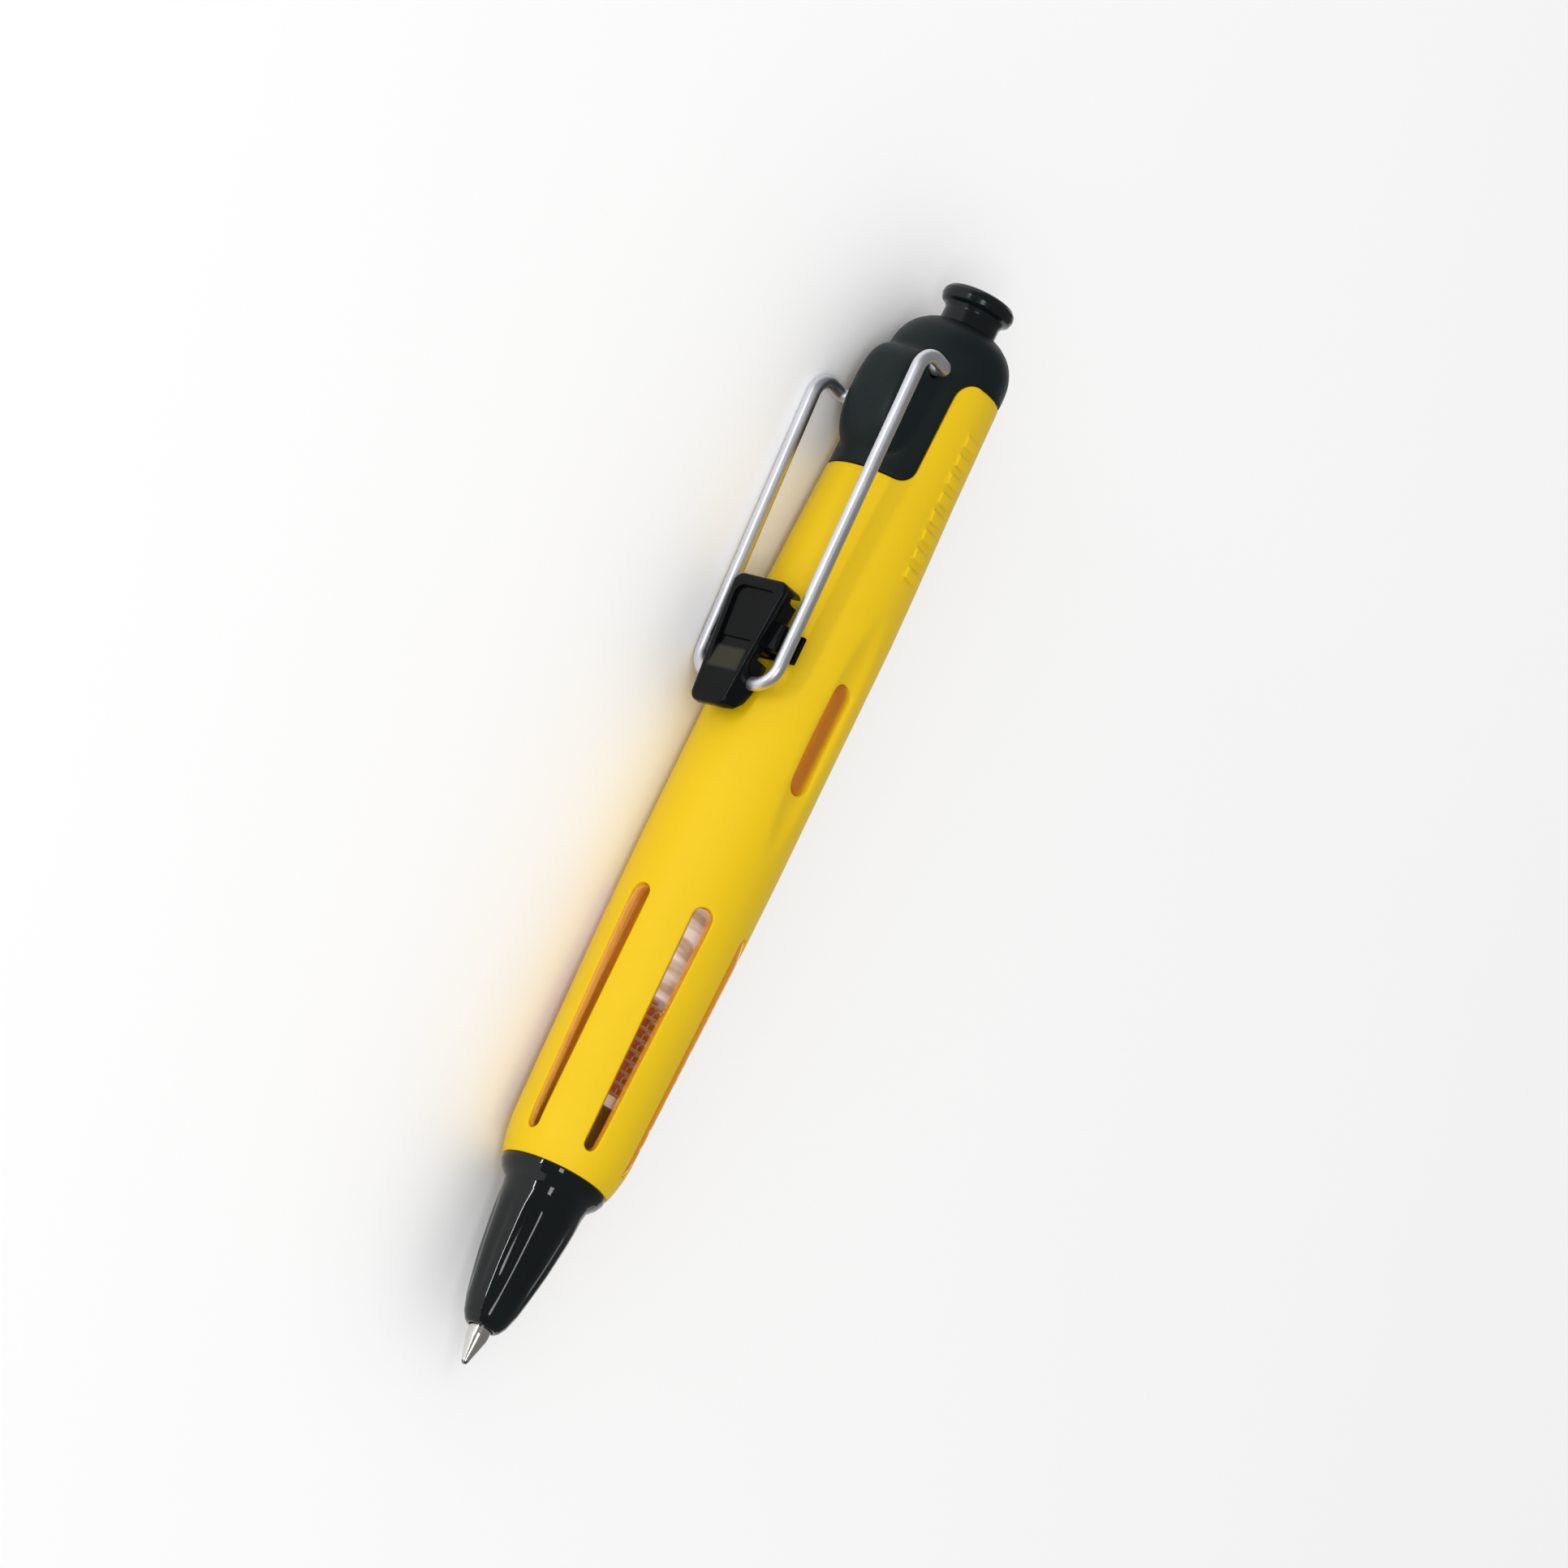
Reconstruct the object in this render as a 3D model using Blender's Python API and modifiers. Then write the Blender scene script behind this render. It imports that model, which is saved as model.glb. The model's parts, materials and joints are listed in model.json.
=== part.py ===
"""Retractable pressurised ballpoint pen: knock button, latch, air pump, refill and a sprung wire clip.

Everything is drawn upright in the pen's own frame, in millimetres: Z is the distance from the writing
tip, the clip is on the -Y side. The empty "pen" then lays it down with the tip towards +X.
"""

import math

import bmesh
import bpy
from mathutils import Matrix, Vector

MM = 0.001
OUTER_STEPS = 48
INNER_STEPS = 24
TINY_STEPS = 16
RUN_GAP = 0.05

# overall
PEN_LENGTH = 126.1
CLIP_ANGLE = -90.0

# barrel skins: radius at each distance from the tip
COVER_OUTER = [(22.0, 5.9), (22.5, 6.15), (24.3, 6.55), (26.0, 6.75), (53.0, 7.37), (60.0, 7.43),
               (73.0, 7.38), (88.0, 7.38), (95.0, 7.2), (104.0, 6.87), (115.9, 6.62)]
TUBE_OUTER = [(22.3, 5.25), (26.0, 5.75), (53.0, 6.35), (73.0, 6.4), (88.0, 6.33), (104.0, 5.85), (118.2, 5.58)]
TUBE_FRONT_BORE = 4.75
TUBE_BORE = 4.95
TUBE_STEP = 31.8

# windows
GRIP_WINDOWS = 6
GRIP_WINDOW = (24.6, 53.0, 0.78, 1.15)
GRIP_RIB_PROUD = 0.18
SIDE_WINDOW = (68.4, 81.3, 1.45, 1.45)
SIDE_ANGLES = (CLIP_ANGLE + 90.0, CLIP_ANGLE - 90.0)
LENS_RADIUS = 6.58
WINDOW_GAP = 0.06
SLOT_CUT = (4.5, 9.5)
FILLER_ROOT = 0.35
SCOOP_CENTRE = (12.0, 75.6)
SCOOP_HALF = (5.35, 5.0, 27.0)
DASH_ANGLE = CLIP_ANGLE + 100.0
DASH_FIRST, DASH_PITCH, DASH_COUNT = 94.4, 2.2, 8
DASH_LENGTH, DASH_HALF, DASH_PROUD = 1.2, 1.2, 0.25

# nose
NOSE_OUTER = [(4.2, 1.65), (4.45, 1.9), (5.2, 2.45), (6.9, 2.92), (8.7, 3.27), (10.4, 3.57), (12.1, 3.85),
              (13.9, 4.07), (15.6, 4.27), (17.3, 4.43), (19.1, 4.5), (19.9, 4.62), (20.8, 5.38), (21.4, 5.72),
              (21.93, 5.85)]
NOSE_SPIGOT = 4.68
NOSE_END = 30.0
NOSE_BORE = [(4.2, 1.36), (5.5, 1.36), (5.6, 1.8), (9.5, 2.1), (22.0, 3.3), (28.0, 3.3), (28.2, 2.3),
             (30.0, 2.3)]
SEAT_RING = (30.1, 31.4, 2.15, 4.6)

# refill
BALL_RADIUS = 0.35
TIP_SHANK = 1.2
HOLDER_RADIUS = 1.6
REFILL_FRONT, REFILL_BACK = 1.9, 3.0
REFILL_SHOULDER = 43.2
REFILL_END = 80.5
TAIL_END = 82.2

# air pump
CYLINDER = (68.6, 94.0, 4.8, 4.18)
CYLINDER_HOLE = 3.12
PISTON = (82.3, 87.2, 3.98)
GROOVE = (84.0, 85.5, 3.2)
RING_SECTION = 0.44

# latch
LATCH_TEETH = 8
TOOTH_HEIGHT = 0.75
ROTOR_TOP = 93.8
ROD_BOTTOM = 93.9
RIB_RADIUS = 3.3
ROTOR_BODY = 2.6
CROWN_STEPS = 32
GUIDE = (94.3, 114.5, 4.85, 4.1)
RIDGE_RADIUS = 3.45
RIDGES = (94.6, 104.5)

# cap
CAP_OUTER = [(115.98, 6.66), (117.3, 6.64), (118.6, 6.5), (119.6, 6.15), (120.5, 5.65), (121.2, 5.0),
             (121.65, 4.3), (121.9, 3.7), (122.0, 3.35)]
CAP_THROAT = 3.22
TONGUE_END = 102.9
TONGUE_HALF = 6.95
TONGUE_CORNER = 1.8
SKIRT_FILLET = 2.4
HUMP = [(104.3, 6.3, 3.6), (105.3, 7.4, 4.1), (106.3, 8.3, 4.4), (108.0, 9.0, 4.55), (110.0, 9.25, 4.6),
        (112.5, 9.25, 4.6), (114.5, 8.9, 4.55), (115.8, 8.3, 4.45), (116.7, 7.4, 4.2), (117.3, 6.3, 3.8)]
HUMP_BASE = 2.15
HUMP_SQUARE = 0.56

# clip
WIRE = 0.75
NEAR_PIVOT = (3.6, -6.2, 115.2)
FAR_PIVOT = (-3.6, -6.2, 109.9)
PIN_END = 3.15
PIN_HOLE = 0.97
LEG_TOP = (5.9, 10.6)
LEG_BOTTOM = (5.4, 8.85)
ARM_RISE = 0.5
LOOP_LEVEL = 76.2
BEND_RADII = (1.1, 1.9, 2.5, 2.5, 1.9, 1.1)
CLAMP_HALF = (2.4, 3.8)
CLAMP_SIDE = [(87.0, 8.3), (87.0, 10.7), (86.8, 11.2), (86.3, 11.43), (73.6, 11.13), (72.8, 10.85), (72.4, 10.2),
              (72.9, 9.0), (74.0, 8.1), (75.4, 7.7), (77.5, 7.7), (78.3, 8.6), (78.5, 9.8), (79.5, 9.8),
              (79.7, 8.3), (85.2, 8.3), (85.3, 9.6), (85.75, 9.95), (86.2, 9.6), (86.3, 8.3)]
CLAMP_EDGE = 0.3
CLAMP_BLOCKS = {
    "clamp_lug": ((-4.55, -10.1, 79.9), (4.55, -8.35, 83.0)),
    "clamp_web": ((-1.6, -9.0, 79.9), (1.6, -7.7, 84.8)),
    "clamp_pad": ((-6.1, -8.15, 79.5), (6.1, -7.6, 82.7)),
}

# knob
KNOB_PROFILE = [(126.1, 2.9), (125.85, 3.6), (125.4, 3.95), (124.9, 4.0), (124.4, 3.8), (124.1, 3.3),
                (123.9, 3.08), (108.0, 3.08)]
KNOB_BORE = (120.9, 2.15)


def start():
    """Clears the scene and makes the two collections and the empty that lays the pen down."""
    for obj in list(bpy.data.objects):
        bpy.data.objects.remove(obj, do_unlink=True)
    parts = bpy.data.collections.new("ballpoint_pen")
    tools = bpy.data.collections.new("cutters")
    for collection in (parts, tools):
        bpy.context.scene.collection.children.link(collection)
    tools.hide_render = True
    pen = bpy.data.objects.new("pen", None)
    parts.objects.link(pen)
    return parts, tools, pen


PARTS, TOOLS, PEN = start()


def material(name, colour, roughness, metallic=0.0, transmission=0.0):
    """A Principled material of a sub-part's own."""
    made = bpy.data.materials.new(name)
    made.use_nodes = True
    shader = made.node_tree.nodes["Principled BSDF"]
    shader.inputs["Base Color"].default_value = (*colour, 1.0)
    shader.inputs["Roughness"].default_value = roughness
    shader.inputs["Metallic"].default_value = metallic
    shader.inputs["Transmission Weight"].default_value = transmission
    return made


def add_object(name, data, look=None):
    """Places a mesh or curve in the pen's frame: a sub-part if it has a look, otherwise a cutter."""
    obj = bpy.data.objects.new(name, data)
    if look is None:
        TOOLS.objects.link(obj)
        obj.hide_render = True
        obj.display_type = "WIRE"
    else:
        PARTS.objects.link(obj)
        data.materials.append(material(name, *look))
    obj.parent = PEN
    return obj


def add_mesh(name, points, faces, look=None):
    """A closed mesh from points in millimetres, for shapes that no primitive makes."""
    mesh = bpy.data.meshes.new(name)
    bm = bmesh.new()
    corners = [bm.verts.new(Vector(p) * MM) for p in points]
    for face in faces:
        bm.faces.new([corners[i] for i in face])
    bmesh.ops.recalc_face_normals(bm, faces=bm.faces)
    bm.to_mesh(mesh)
    bm.free()
    return add_object(name, mesh, look)


def lean():
    """Turn about its own axis at which the pen's cover and the lower leg of the clip both meet the floor."""
    top_x, top_d = LEG_TOP
    floor = max(radius for level, radius in COVER_OUTER)
    return math.asin((floor - WIRE) / math.hypot(top_x, top_d)) - math.atan2(top_x, top_d)


def turned(name, outline, steps, look=None, closed=True):
    """A shape turned about Z. The outline is (distance from tip, radius), outer side first, knob end first.

    Its facets are placed so that the barrel lies on the middle of one.
    """
    mesh = bpy.data.meshes.new(name)
    facet = lean() - math.pi / OUTER_STEPS
    out_x, out_y = MM * math.cos(facet), MM * math.sin(facet)
    points = [(radius * out_x, radius * out_y, level * MM) for level, radius in outline]
    edges = [(i, i + 1) for i in range(len(points) - 1)]
    if closed:
        edges.append((len(points) - 1, 0))
    mesh.from_pydata(points, edges, [])
    obj = add_object(name, mesh, look)
    screw = obj.modifiers.new("turn", "SCREW")
    screw.axis = "Z"
    screw.steps = steps
    screw.render_steps = steps
    screw.use_merge_vertices = True
    screw.merge_threshold = 0.00001
    screw.use_normal_calculate = False
    return obj


def boolean(target, tool, operation):
    """Cuts target with tool, or joins tool to it."""
    step = target.modifiers.new(tool.name, "BOOLEAN")
    step.operation = operation
    step.solver = "EXACT"
    step.object = tool
    return target


def curved_blocks(name, blocks, columns, look=None):
    """Blocks bent round the axis. Each is (centre angle, rows); a row is (level, half width, inner, outer)."""
    points, faces = [], []
    for centre, rows in blocks:
        first = len(points)
        width = columns + 1
        for level, half, inner, outer in rows:
            for radius in (inner, outer):
                for j in range(width):
                    turn = math.radians(centre) + half / outer * (2.0 * j / columns - 1.0)
                    points.append((radius * math.cos(turn), radius * math.sin(turn), level))

        def at(i, shell, j):
            return first + (i * 2 + shell) * width + j

        for i in range(len(rows) - 1):
            for shell in (0, 1):
                for j in range(columns):
                    faces.append((at(i, shell, j), at(i, shell, j + 1),
                                  at(i + 1, shell, j + 1), at(i + 1, shell, j)))
            for j in (0, columns):
                faces.append((at(i, 0, j), at(i, 1, j), at(i + 1, 1, j), at(i + 1, 0, j)))
        for i in (0, len(rows) - 1):
            for j in range(columns):
                faces.append((at(i, 0, j), at(i, 1, j), at(i, 1, j + 1), at(i, 0, j + 1)))
    return add_mesh(name, points, faces, look)


def radius_at(profile, level):
    """Radius of a barrel skin at a distance from the tip."""
    if level <= profile[0][0]:
        return profile[0][1]
    for (z0, r0), (z1, r1) in zip(profile, profile[1:]):
        if level <= z1:
            return r0 + (r1 - r0) * (level - z0) / (z1 - z0)
    return profile[-1][1]


def slot_outline(window, shrink=0.0):
    """(level, half width) down a slot with round ends, drawn in by shrink."""
    low, high, half_low, half_high = window
    low, high = low + shrink, high - shrink
    half_low, half_high = half_low - shrink, half_high - shrink
    turns = [math.radians(a) for a in (20.0, 45.0, 70.0, 90.0)]
    outline = [(low + half_low * (1 - math.cos(t)), half_low * math.sin(t)) for t in turns]
    outline += [(high - half_high * (1 - math.cos(t)), half_high * math.sin(t)) for t in reversed(turns)]
    return outline


def rounded_path(corners, radii, steps):
    """A line through corners, each inner corner rounded to its radius by an arc of that many steps."""
    points = [Vector(corners[0])]
    for before, corner, after, radius in zip(corners, corners[1:], corners[2:], radii):
        corner = Vector(corner)
        back = (Vector(before) - corner).normalized()
        ahead = (Vector(after) - corner).normalized()
        half = back.angle(ahead) / 2.0
        reach = radius / math.tan(half)
        centre = corner + (back + ahead).normalized() * (radius / math.sin(half))
        start_arm = corner + back * reach - centre
        axis = start_arm.cross(corner + ahead * reach - centre).normalized()
        sweep = math.pi - 2.0 * half
        for k in range(steps + 1):
            points.append(centre + Matrix.Rotation(sweep * k / steps, 3, axis) @ start_arm)
    points.append(Vector(corners[-1]))
    return points


def wire(name, points, radius, look, resolution=2):
    """Round wire along points."""
    curve = bpy.data.curves.new(name, "CURVE")
    curve.dimensions = "3D"
    curve.bevel_depth = radius * MM
    curve.bevel_resolution = resolution
    curve.use_fill_caps = True
    spline = curve.splines.new("POLY")
    spline.points.add(len(points) - 1)
    for slot, point in zip(spline.points, points):
        slot.co = (*(Vector(point) * MM), 1.0)
    return add_object(name, curve, look)


def coil(name, span, mean_radius, wire_radius, turns, per_turn, look):
    """A compression spring whose end turns lie close together."""
    low, high = span[0] + wire_radius, span[1] - wire_radius
    close = 2.4 * wire_radius
    count = int(turns * per_turn)
    points = []
    for i in range(count + 1):
        turn = i / per_turn
        if turn < 1.0:
            level = low + close * turn
        elif turn > turns - 1.0:
            level = high - close * (turns - turn)
        else:
            level = low + close + (high - low - 2 * close) * (turn - 1.0) / (turns - 2.0)
        angle = 2 * math.pi * turn
        points.append((mean_radius * math.cos(angle), mean_radius * math.sin(angle), level))
    return wire(name, points, wire_radius, look)


def toothed_end(name, inner, outer, flat, tip, steps):
    """A ring whose one end is flat and whose other end is a crown of sloping teeth."""
    valley = tip + math.copysign(TOOTH_HEIGHT, flat - tip)
    points, faces = [], []
    for i in range(steps):
        angle = 2 * math.pi * i / steps
        share = abs((i * LATCH_TEETH / steps) % 1.0 - 0.5) * 2.0
        crown = tip + (valley - tip) * share
        for radius in (inner, outer):
            for level in (flat, crown):
                points.append((radius * math.cos(angle), radius * math.sin(angle), level))
    for i in range(steps):
        a, b = 4 * i, 4 * ((i + 1) % steps)
        faces.append((a, a + 1, b + 1, b))
        faces.append((a + 2, b + 2, b + 3, a + 3))
        faces.append((a, b, b + 2, a + 2))
        faces.append((a + 1, a + 3, b + 3, b + 1))
    return add_mesh(name, points, faces)


def primitive(name, fill):
    """A cutter or joined piece whose mesh is filled by one of Blender's own primitives."""
    mesh = bpy.data.meshes.new(name)
    bm = bmesh.new()
    fill(bm)
    bm.to_mesh(mesh)
    bm.free()
    return add_object(name, mesh)


def box(name, low, high):
    """A box between two corners, to cut with or to join."""
    low, high = Vector(low) * MM, Vector(high) * MM
    place = Matrix.Translation((low + high) / 2.0) @ Matrix.Diagonal((*(high - low), 1.0))
    return primitive(name, lambda bm: bmesh.ops.create_cube(bm, size=1.0, matrix=place))


def rod_along_x(name, x_low, x_high, y, level, radius):
    """A plain round cutter parallel to X."""
    centre = Vector(((x_low + x_high) / 2.0, y, level)) * MM
    place = Matrix.Translation(centre) @ Matrix.Rotation(math.pi / 2.0, 4, "Y")
    return primitive(name, lambda bm: bmesh.ops.create_cone(
        bm, cap_ends=True, segments=TINY_STEPS, radius1=radius * MM, radius2=radius * MM,
        depth=(x_high - x_low) * MM, matrix=place))


# ---------------------------------------------------------------- barrel

def tongue_rows(grow, inner, outer_extra, top):
    """Rows of the cap's tongue: round lower corners, straight sides, fillets where it meets the skirt."""
    rows = []
    low = TONGUE_END - grow
    corner = TONGUE_CORNER + grow
    half = TONGUE_HALF + grow
    for degrees in (0.0, 22.5, 45.0, 67.5, 90.0):
        t = math.radians(degrees)
        rows.append((low + corner * (1 - math.cos(t)), half - corner * (1 - math.sin(t))))
    skirt = COVER_OUTER[-1][0]
    for degrees in (0.0, 30.0, 60.0, 80.0):
        t = math.radians(degrees)
        rows.append((skirt - SKIRT_FILLET * (1 - math.sin(t)), half + SKIRT_FILLET * (1 - math.cos(t))))
    rows.append((top, half + SKIRT_FILLET))
    shaped = []
    for level, half_width in rows:
        skin = radius_at(COVER_OUTER, level)
        outer = skin + outer_extra
        shaped.append((level, half_width * outer / skin, inner, outer))
    return shaped


def barrel_cover():
    """Soft skin with six grip windows, two side windows in thumb scoops and a row of raised dashes."""
    inner = [(z, r + RUN_GAP) for z, r in TUBE_OUTER if 22.3 < z < 110.0]
    ends = [(22.0, 5.3)] + inner + [(115.9, radius_at(TUBE_OUTER, 115.9) + RUN_GAP)]
    cover = turned("barrel_cover", COVER_OUTER[::-1] + ends, OUTER_STEPS, ((0.92, 0.62, 0.02), 0.55))

    dashes = []
    for k in range(DASH_COUNT):
        low = DASH_FIRST + k * DASH_PITCH
        rows = []
        for level in (low, low + DASH_LENGTH):
            skin = radius_at(COVER_OUTER, level)
            rows.append((level, DASH_HALF, skin - FILLER_ROOT, skin + DASH_PROUD))
        dashes.append((DASH_ANGLE, rows))
    boolean(cover, curved_blocks("dash_blocks", dashes, 2), "UNION")

    slots = []
    for k in range(GRIP_WINDOWS):
        rows = [(z, half_at(SLOT_CUT[1], z, half), *SLOT_CUT) for z, half in slot_outline(GRIP_WINDOW)]
        slots.append((CLIP_ANGLE + 60.0 * k, rows))
    for angle in SIDE_ANGLES:
        rows = [(z, half_at(SLOT_CUT[1], z, half), *SLOT_CUT) for z, half in slot_outline(SIDE_WINDOW)]
        slots.append((angle, rows))
    boolean(cover, curved_blocks("window_slots", slots, 2), "DIFFERENCE")

    def fill_scoops(bm):
        for angle in SIDE_ANGLES:
            place = (Matrix.Rotation(math.radians(angle), 4, "Z")
                     @ Matrix.Translation(Vector((SCOOP_CENTRE[0], 0.0, SCOOP_CENTRE[1])) * MM)
                     @ Matrix.Diagonal((*(Vector(SCOOP_HALF) * MM), 1.0)))
            bmesh.ops.create_uvsphere(bm, u_segments=24, v_segments=18, radius=1.0, matrix=place)

    boolean(cover, primitive("thumb_scoops", fill_scoops), "DIFFERENCE")

    notch = tongue_rows(WINDOW_GAP, 4.5, 2.0, 118.0)
    boolean(cover, curved_blocks("tongue_notch", [(CLIP_ANGLE, notch)], 14), "DIFFERENCE")
    return cover


def half_at(radius, level, half):
    """Half width at a radius of something whose half width is given at the cover's skin."""
    return half * radius / radius_at(COVER_OUTER, level)


def inner_barrel():
    """Clear tube that carries everything, with ribs and lenses that fill the cover's windows."""
    bore = [(22.3, TUBE_FRONT_BORE), (TUBE_STEP, TUBE_FRONT_BORE), (TUBE_STEP, TUBE_BORE), (118.2, TUBE_BORE)]
    tube = turned("inner_barrel", TUBE_OUTER[::-1] + bore, OUTER_STEPS, ((0.8, 0.42, 0.1), 0.1, 0.0, 0.9))
    fillers = []
    for k in range(GRIP_WINDOWS):
        outline = slot_outline(GRIP_WINDOW, WINDOW_GAP)
        rows = []
        for i, (level, half) in enumerate(outline):
            proud = GRIP_RIB_PROUD if 1 < i < len(outline) - 2 else 0.0
            root = radius_at(TUBE_OUTER, level) - FILLER_ROOT
            rows.append((level, half, root, radius_at(COVER_OUTER, level) + proud))
        fillers.append((CLIP_ANGLE + 60.0 * k, rows))
    for angle in SIDE_ANGLES:
        outline = slot_outline(SIDE_WINDOW, WINDOW_GAP)
        rows = [(z, half_at(LENS_RADIUS, z, half), radius_at(TUBE_OUTER, z) - FILLER_ROOT, LENS_RADIUS)
                for z, half in outline]
        fillers.append((angle, rows))
    boolean(tube, curved_blocks("window_fillers", fillers, 2), "UNION")
    return tube


def nose_cone():
    """Glossy ogive nose with a collar and a spigot that goes into the clear tube."""
    outline = [(NOSE_END, NOSE_SPIGOT), (21.93, NOSE_SPIGOT)] + NOSE_OUTER[::-1]
    return turned("nose_cone", outline + NOSE_BORE, OUTER_STEPS, ((0.01, 0.012, 0.014), 0.12))


def spring_seat():
    """Washer between the nose spigot and the return spring."""
    low, high, inner, outer = SEAT_RING
    outline = [(high, outer), (low, outer), (low, inner), (high, inner)]
    return turned("spring_seat", outline, INNER_STEPS, ((0.75, 0.7, 0.6), 0.4))


# ---------------------------------------------------------------- refill

def tip_ball():
    """Writing ball."""
    turns = [math.radians(180.0 * k / 8) for k in range(9)]
    outline = [(BALL_RADIUS * (1 + math.cos(t)), BALL_RADIUS * math.sin(t)) for t in turns]
    return turned("tip_ball", outline, TINY_STEPS, ((0.3, 0.3, 0.34), 0.15, 1.0), closed=False)


def tip_cone():
    """Metal point: crimped lip, cone, shank and an ink channel behind the ball."""
    outer = [(9.4, TIP_SHANK - 0.3), (7.4, TIP_SHANK - 0.3), (7.4, TIP_SHANK), (3.35, TIP_SHANK), (2.9, 1.12),
             (0.6, 0.46), (0.32, 0.41)]
    socket = [(0.32, 0.37), (0.55, 0.33), (0.76, 0.16), (9.4, 0.16)]
    return turned("tip_cone", outer + socket, TINY_STEPS, ((0.75, 0.75, 0.76), 0.22, 1.0))


def tip_holder():
    """Plastic sleeve that joins the metal point to the ink tube."""
    outline = [(21.4, 1.35), (18.0, 1.35), (18.0, HOLDER_RADIUS), (9.0, HOLDER_RADIUS), (7.5, TIP_SHANK + 0.05),
               (7.5, 0.95), (9.6, 0.95), (9.6, 0.6), (21.4, 0.6)]
    return turned("tip_holder", outline, INNER_STEPS, ((0.25, 0.08, 0.05), 0.35))


def refill_tube():
    """Clear ink tube with a shoulder that the return spring pushes on."""
    outline = [(REFILL_END, REFILL_BACK), (REFILL_SHOULDER, REFILL_BACK), (REFILL_SHOULDER, REFILL_FRONT),
               (18.1, REFILL_FRONT), (18.1, 1.4), (44.2, 1.4), (45.2, 2.4), (REFILL_END, 2.4)]
    return turned("refill_tube", outline, INNER_STEPS, ((0.85, 0.85, 0.82), 0.25, 0.0, 0.7))


def ink_column():
    """Ink standing in the refill."""
    outline = [(62.0, 0.0), (62.0, 2.35), (45.4, 2.35), (44.4, 1.35), (21.5, 1.35), (21.5, 0.0)]
    return turned("ink_column", outline, INNER_STEPS, ((0.02, 0.02, 0.12), 0.2), closed=False)


def ink_follower():
    """Grease plug that follows the ink."""
    outline = [(66.0, 0.0), (66.0, 2.35), (62.1, 2.35), (62.1, 0.0)]
    return turned("ink_follower", outline, INNER_STEPS, ((0.8, 0.75, 0.5), 0.3), closed=False)


def refill_tail_plug():
    """Vented plug in the open end of the refill."""
    outline = [(TAIL_END, REFILL_BACK - 0.1), (REFILL_END + 0.05, REFILL_BACK - 0.1), (REFILL_END + 0.05, 2.35),
               (77.5, 2.35), (77.5, 0.8), (TAIL_END, 0.8)]
    return turned("refill_tail_plug", outline, INNER_STEPS, ((0.8, 0.8, 0.78), 0.4))


def return_spring():
    """Spring that pulls the refill back."""
    return coil("return_spring", (31.5, REFILL_SHOULDER - 0.1), 2.45, 0.2, 10.0, 10,
                ((0.7, 0.7, 0.7), 0.25, 1.0))


# ---------------------------------------------------------------- air pump

def air_cylinder():
    """Tube the piston runs in, with a floor that the refill passes through."""
    low, high, outer, inner = CYLINDER
    outline = [(high, outer), (low, outer), (low, CYLINDER_HOLE), (low + 1.2, CYLINDER_HOLE), (low + 1.2, inner),
               (high, inner)]
    return turned("air_cylinder", outline, INNER_STEPS, ((0.6, 0.6, 0.58), 0.35))


def ring(name, mean, section, level, steps, look):
    """Rubber ring of round section."""
    turns = [2 * math.pi * k / 8 + math.pi / 8 for k in range(8)]
    outline = [(level + section * math.sin(t), mean + section * math.cos(t)) for t in turns]
    return turned(name, outline[::-1], steps, look)


def pump_seals():
    """Ring round the refill and ring round the piston."""
    rubber = ((0.02, 0.02, 0.02), 0.6)
    middle = (CYLINDER_HOLE + CYLINDER[3]) / 2
    ring("cylinder_seal", middle, 0.46, CYLINDER[0] + 1.75, INNER_STEPS, rubber)
    ring("piston_ring", CYLINDER[3] - 0.03 - RING_SECTION, RING_SECTION, sum(GROOVE[:2]) / 2, INNER_STEPS, rubber)


def piston():
    """Piston that the latch pushes down, with a ring groove and a socket for the latch rotor's spigot."""
    low, high, outer = PISTON
    groove_low, groove_high, groove_floor = GROOVE
    outline = [(high, outer), (groove_high, outer), (groove_high, groove_floor), (groove_low, groove_floor),
               (groove_low, outer), (low, outer), (low, 0.5), (85.4, 0.5), (85.4, 1.5), (high, 1.5)]
    return turned("piston", outline, INNER_STEPS, ((0.5, 0.5, 0.5), 0.35))


def pump_spring():
    """Spring under the piston that brings the knob back up."""
    return coil("pump_spring", (71.0, PISTON[0] - 0.1), 3.6, 0.24, 8.0, 10, ((0.7, 0.7, 0.7), 0.25, 1.0))


# ---------------------------------------------------------------- latch and knob

def cam_rotor():
    """Latch rotor: spigot in the piston, body with ribs, and a crown of teeth towards the knob."""
    low = PISTON[1] + 0.1
    outline = [(92.8, 0.0), (92.8, ROTOR_BODY), (91.4, ROTOR_BODY), (90.6, 2.0), (low, 2.0), (low, 1.38),
               (85.6, 1.38), (85.6, 0.0)]
    rotor = turned("cam_rotor", outline, INNER_STEPS, ((0.1, 0.1, 0.1), 0.3), closed=False)
    boolean(rotor, toothed_end("rotor_crown", 1.2, ROTOR_BODY + 0.1, 92.0, ROTOR_TOP, CROWN_STEPS), "UNION")
    rows = [(90.9, 0.5, 1.9, RIB_RADIUS), (92.9, 0.5, 1.9, RIB_RADIUS)]
    boolean(rotor, curved_blocks("rotor_ribs", spread(rows, LATCH_TEETH), 1), "UNION")
    return rotor


def spread(rows, count):
    """The same block repeated round the axis."""
    return [(360.0 * k / count, rows) for k in range(count)]


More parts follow.
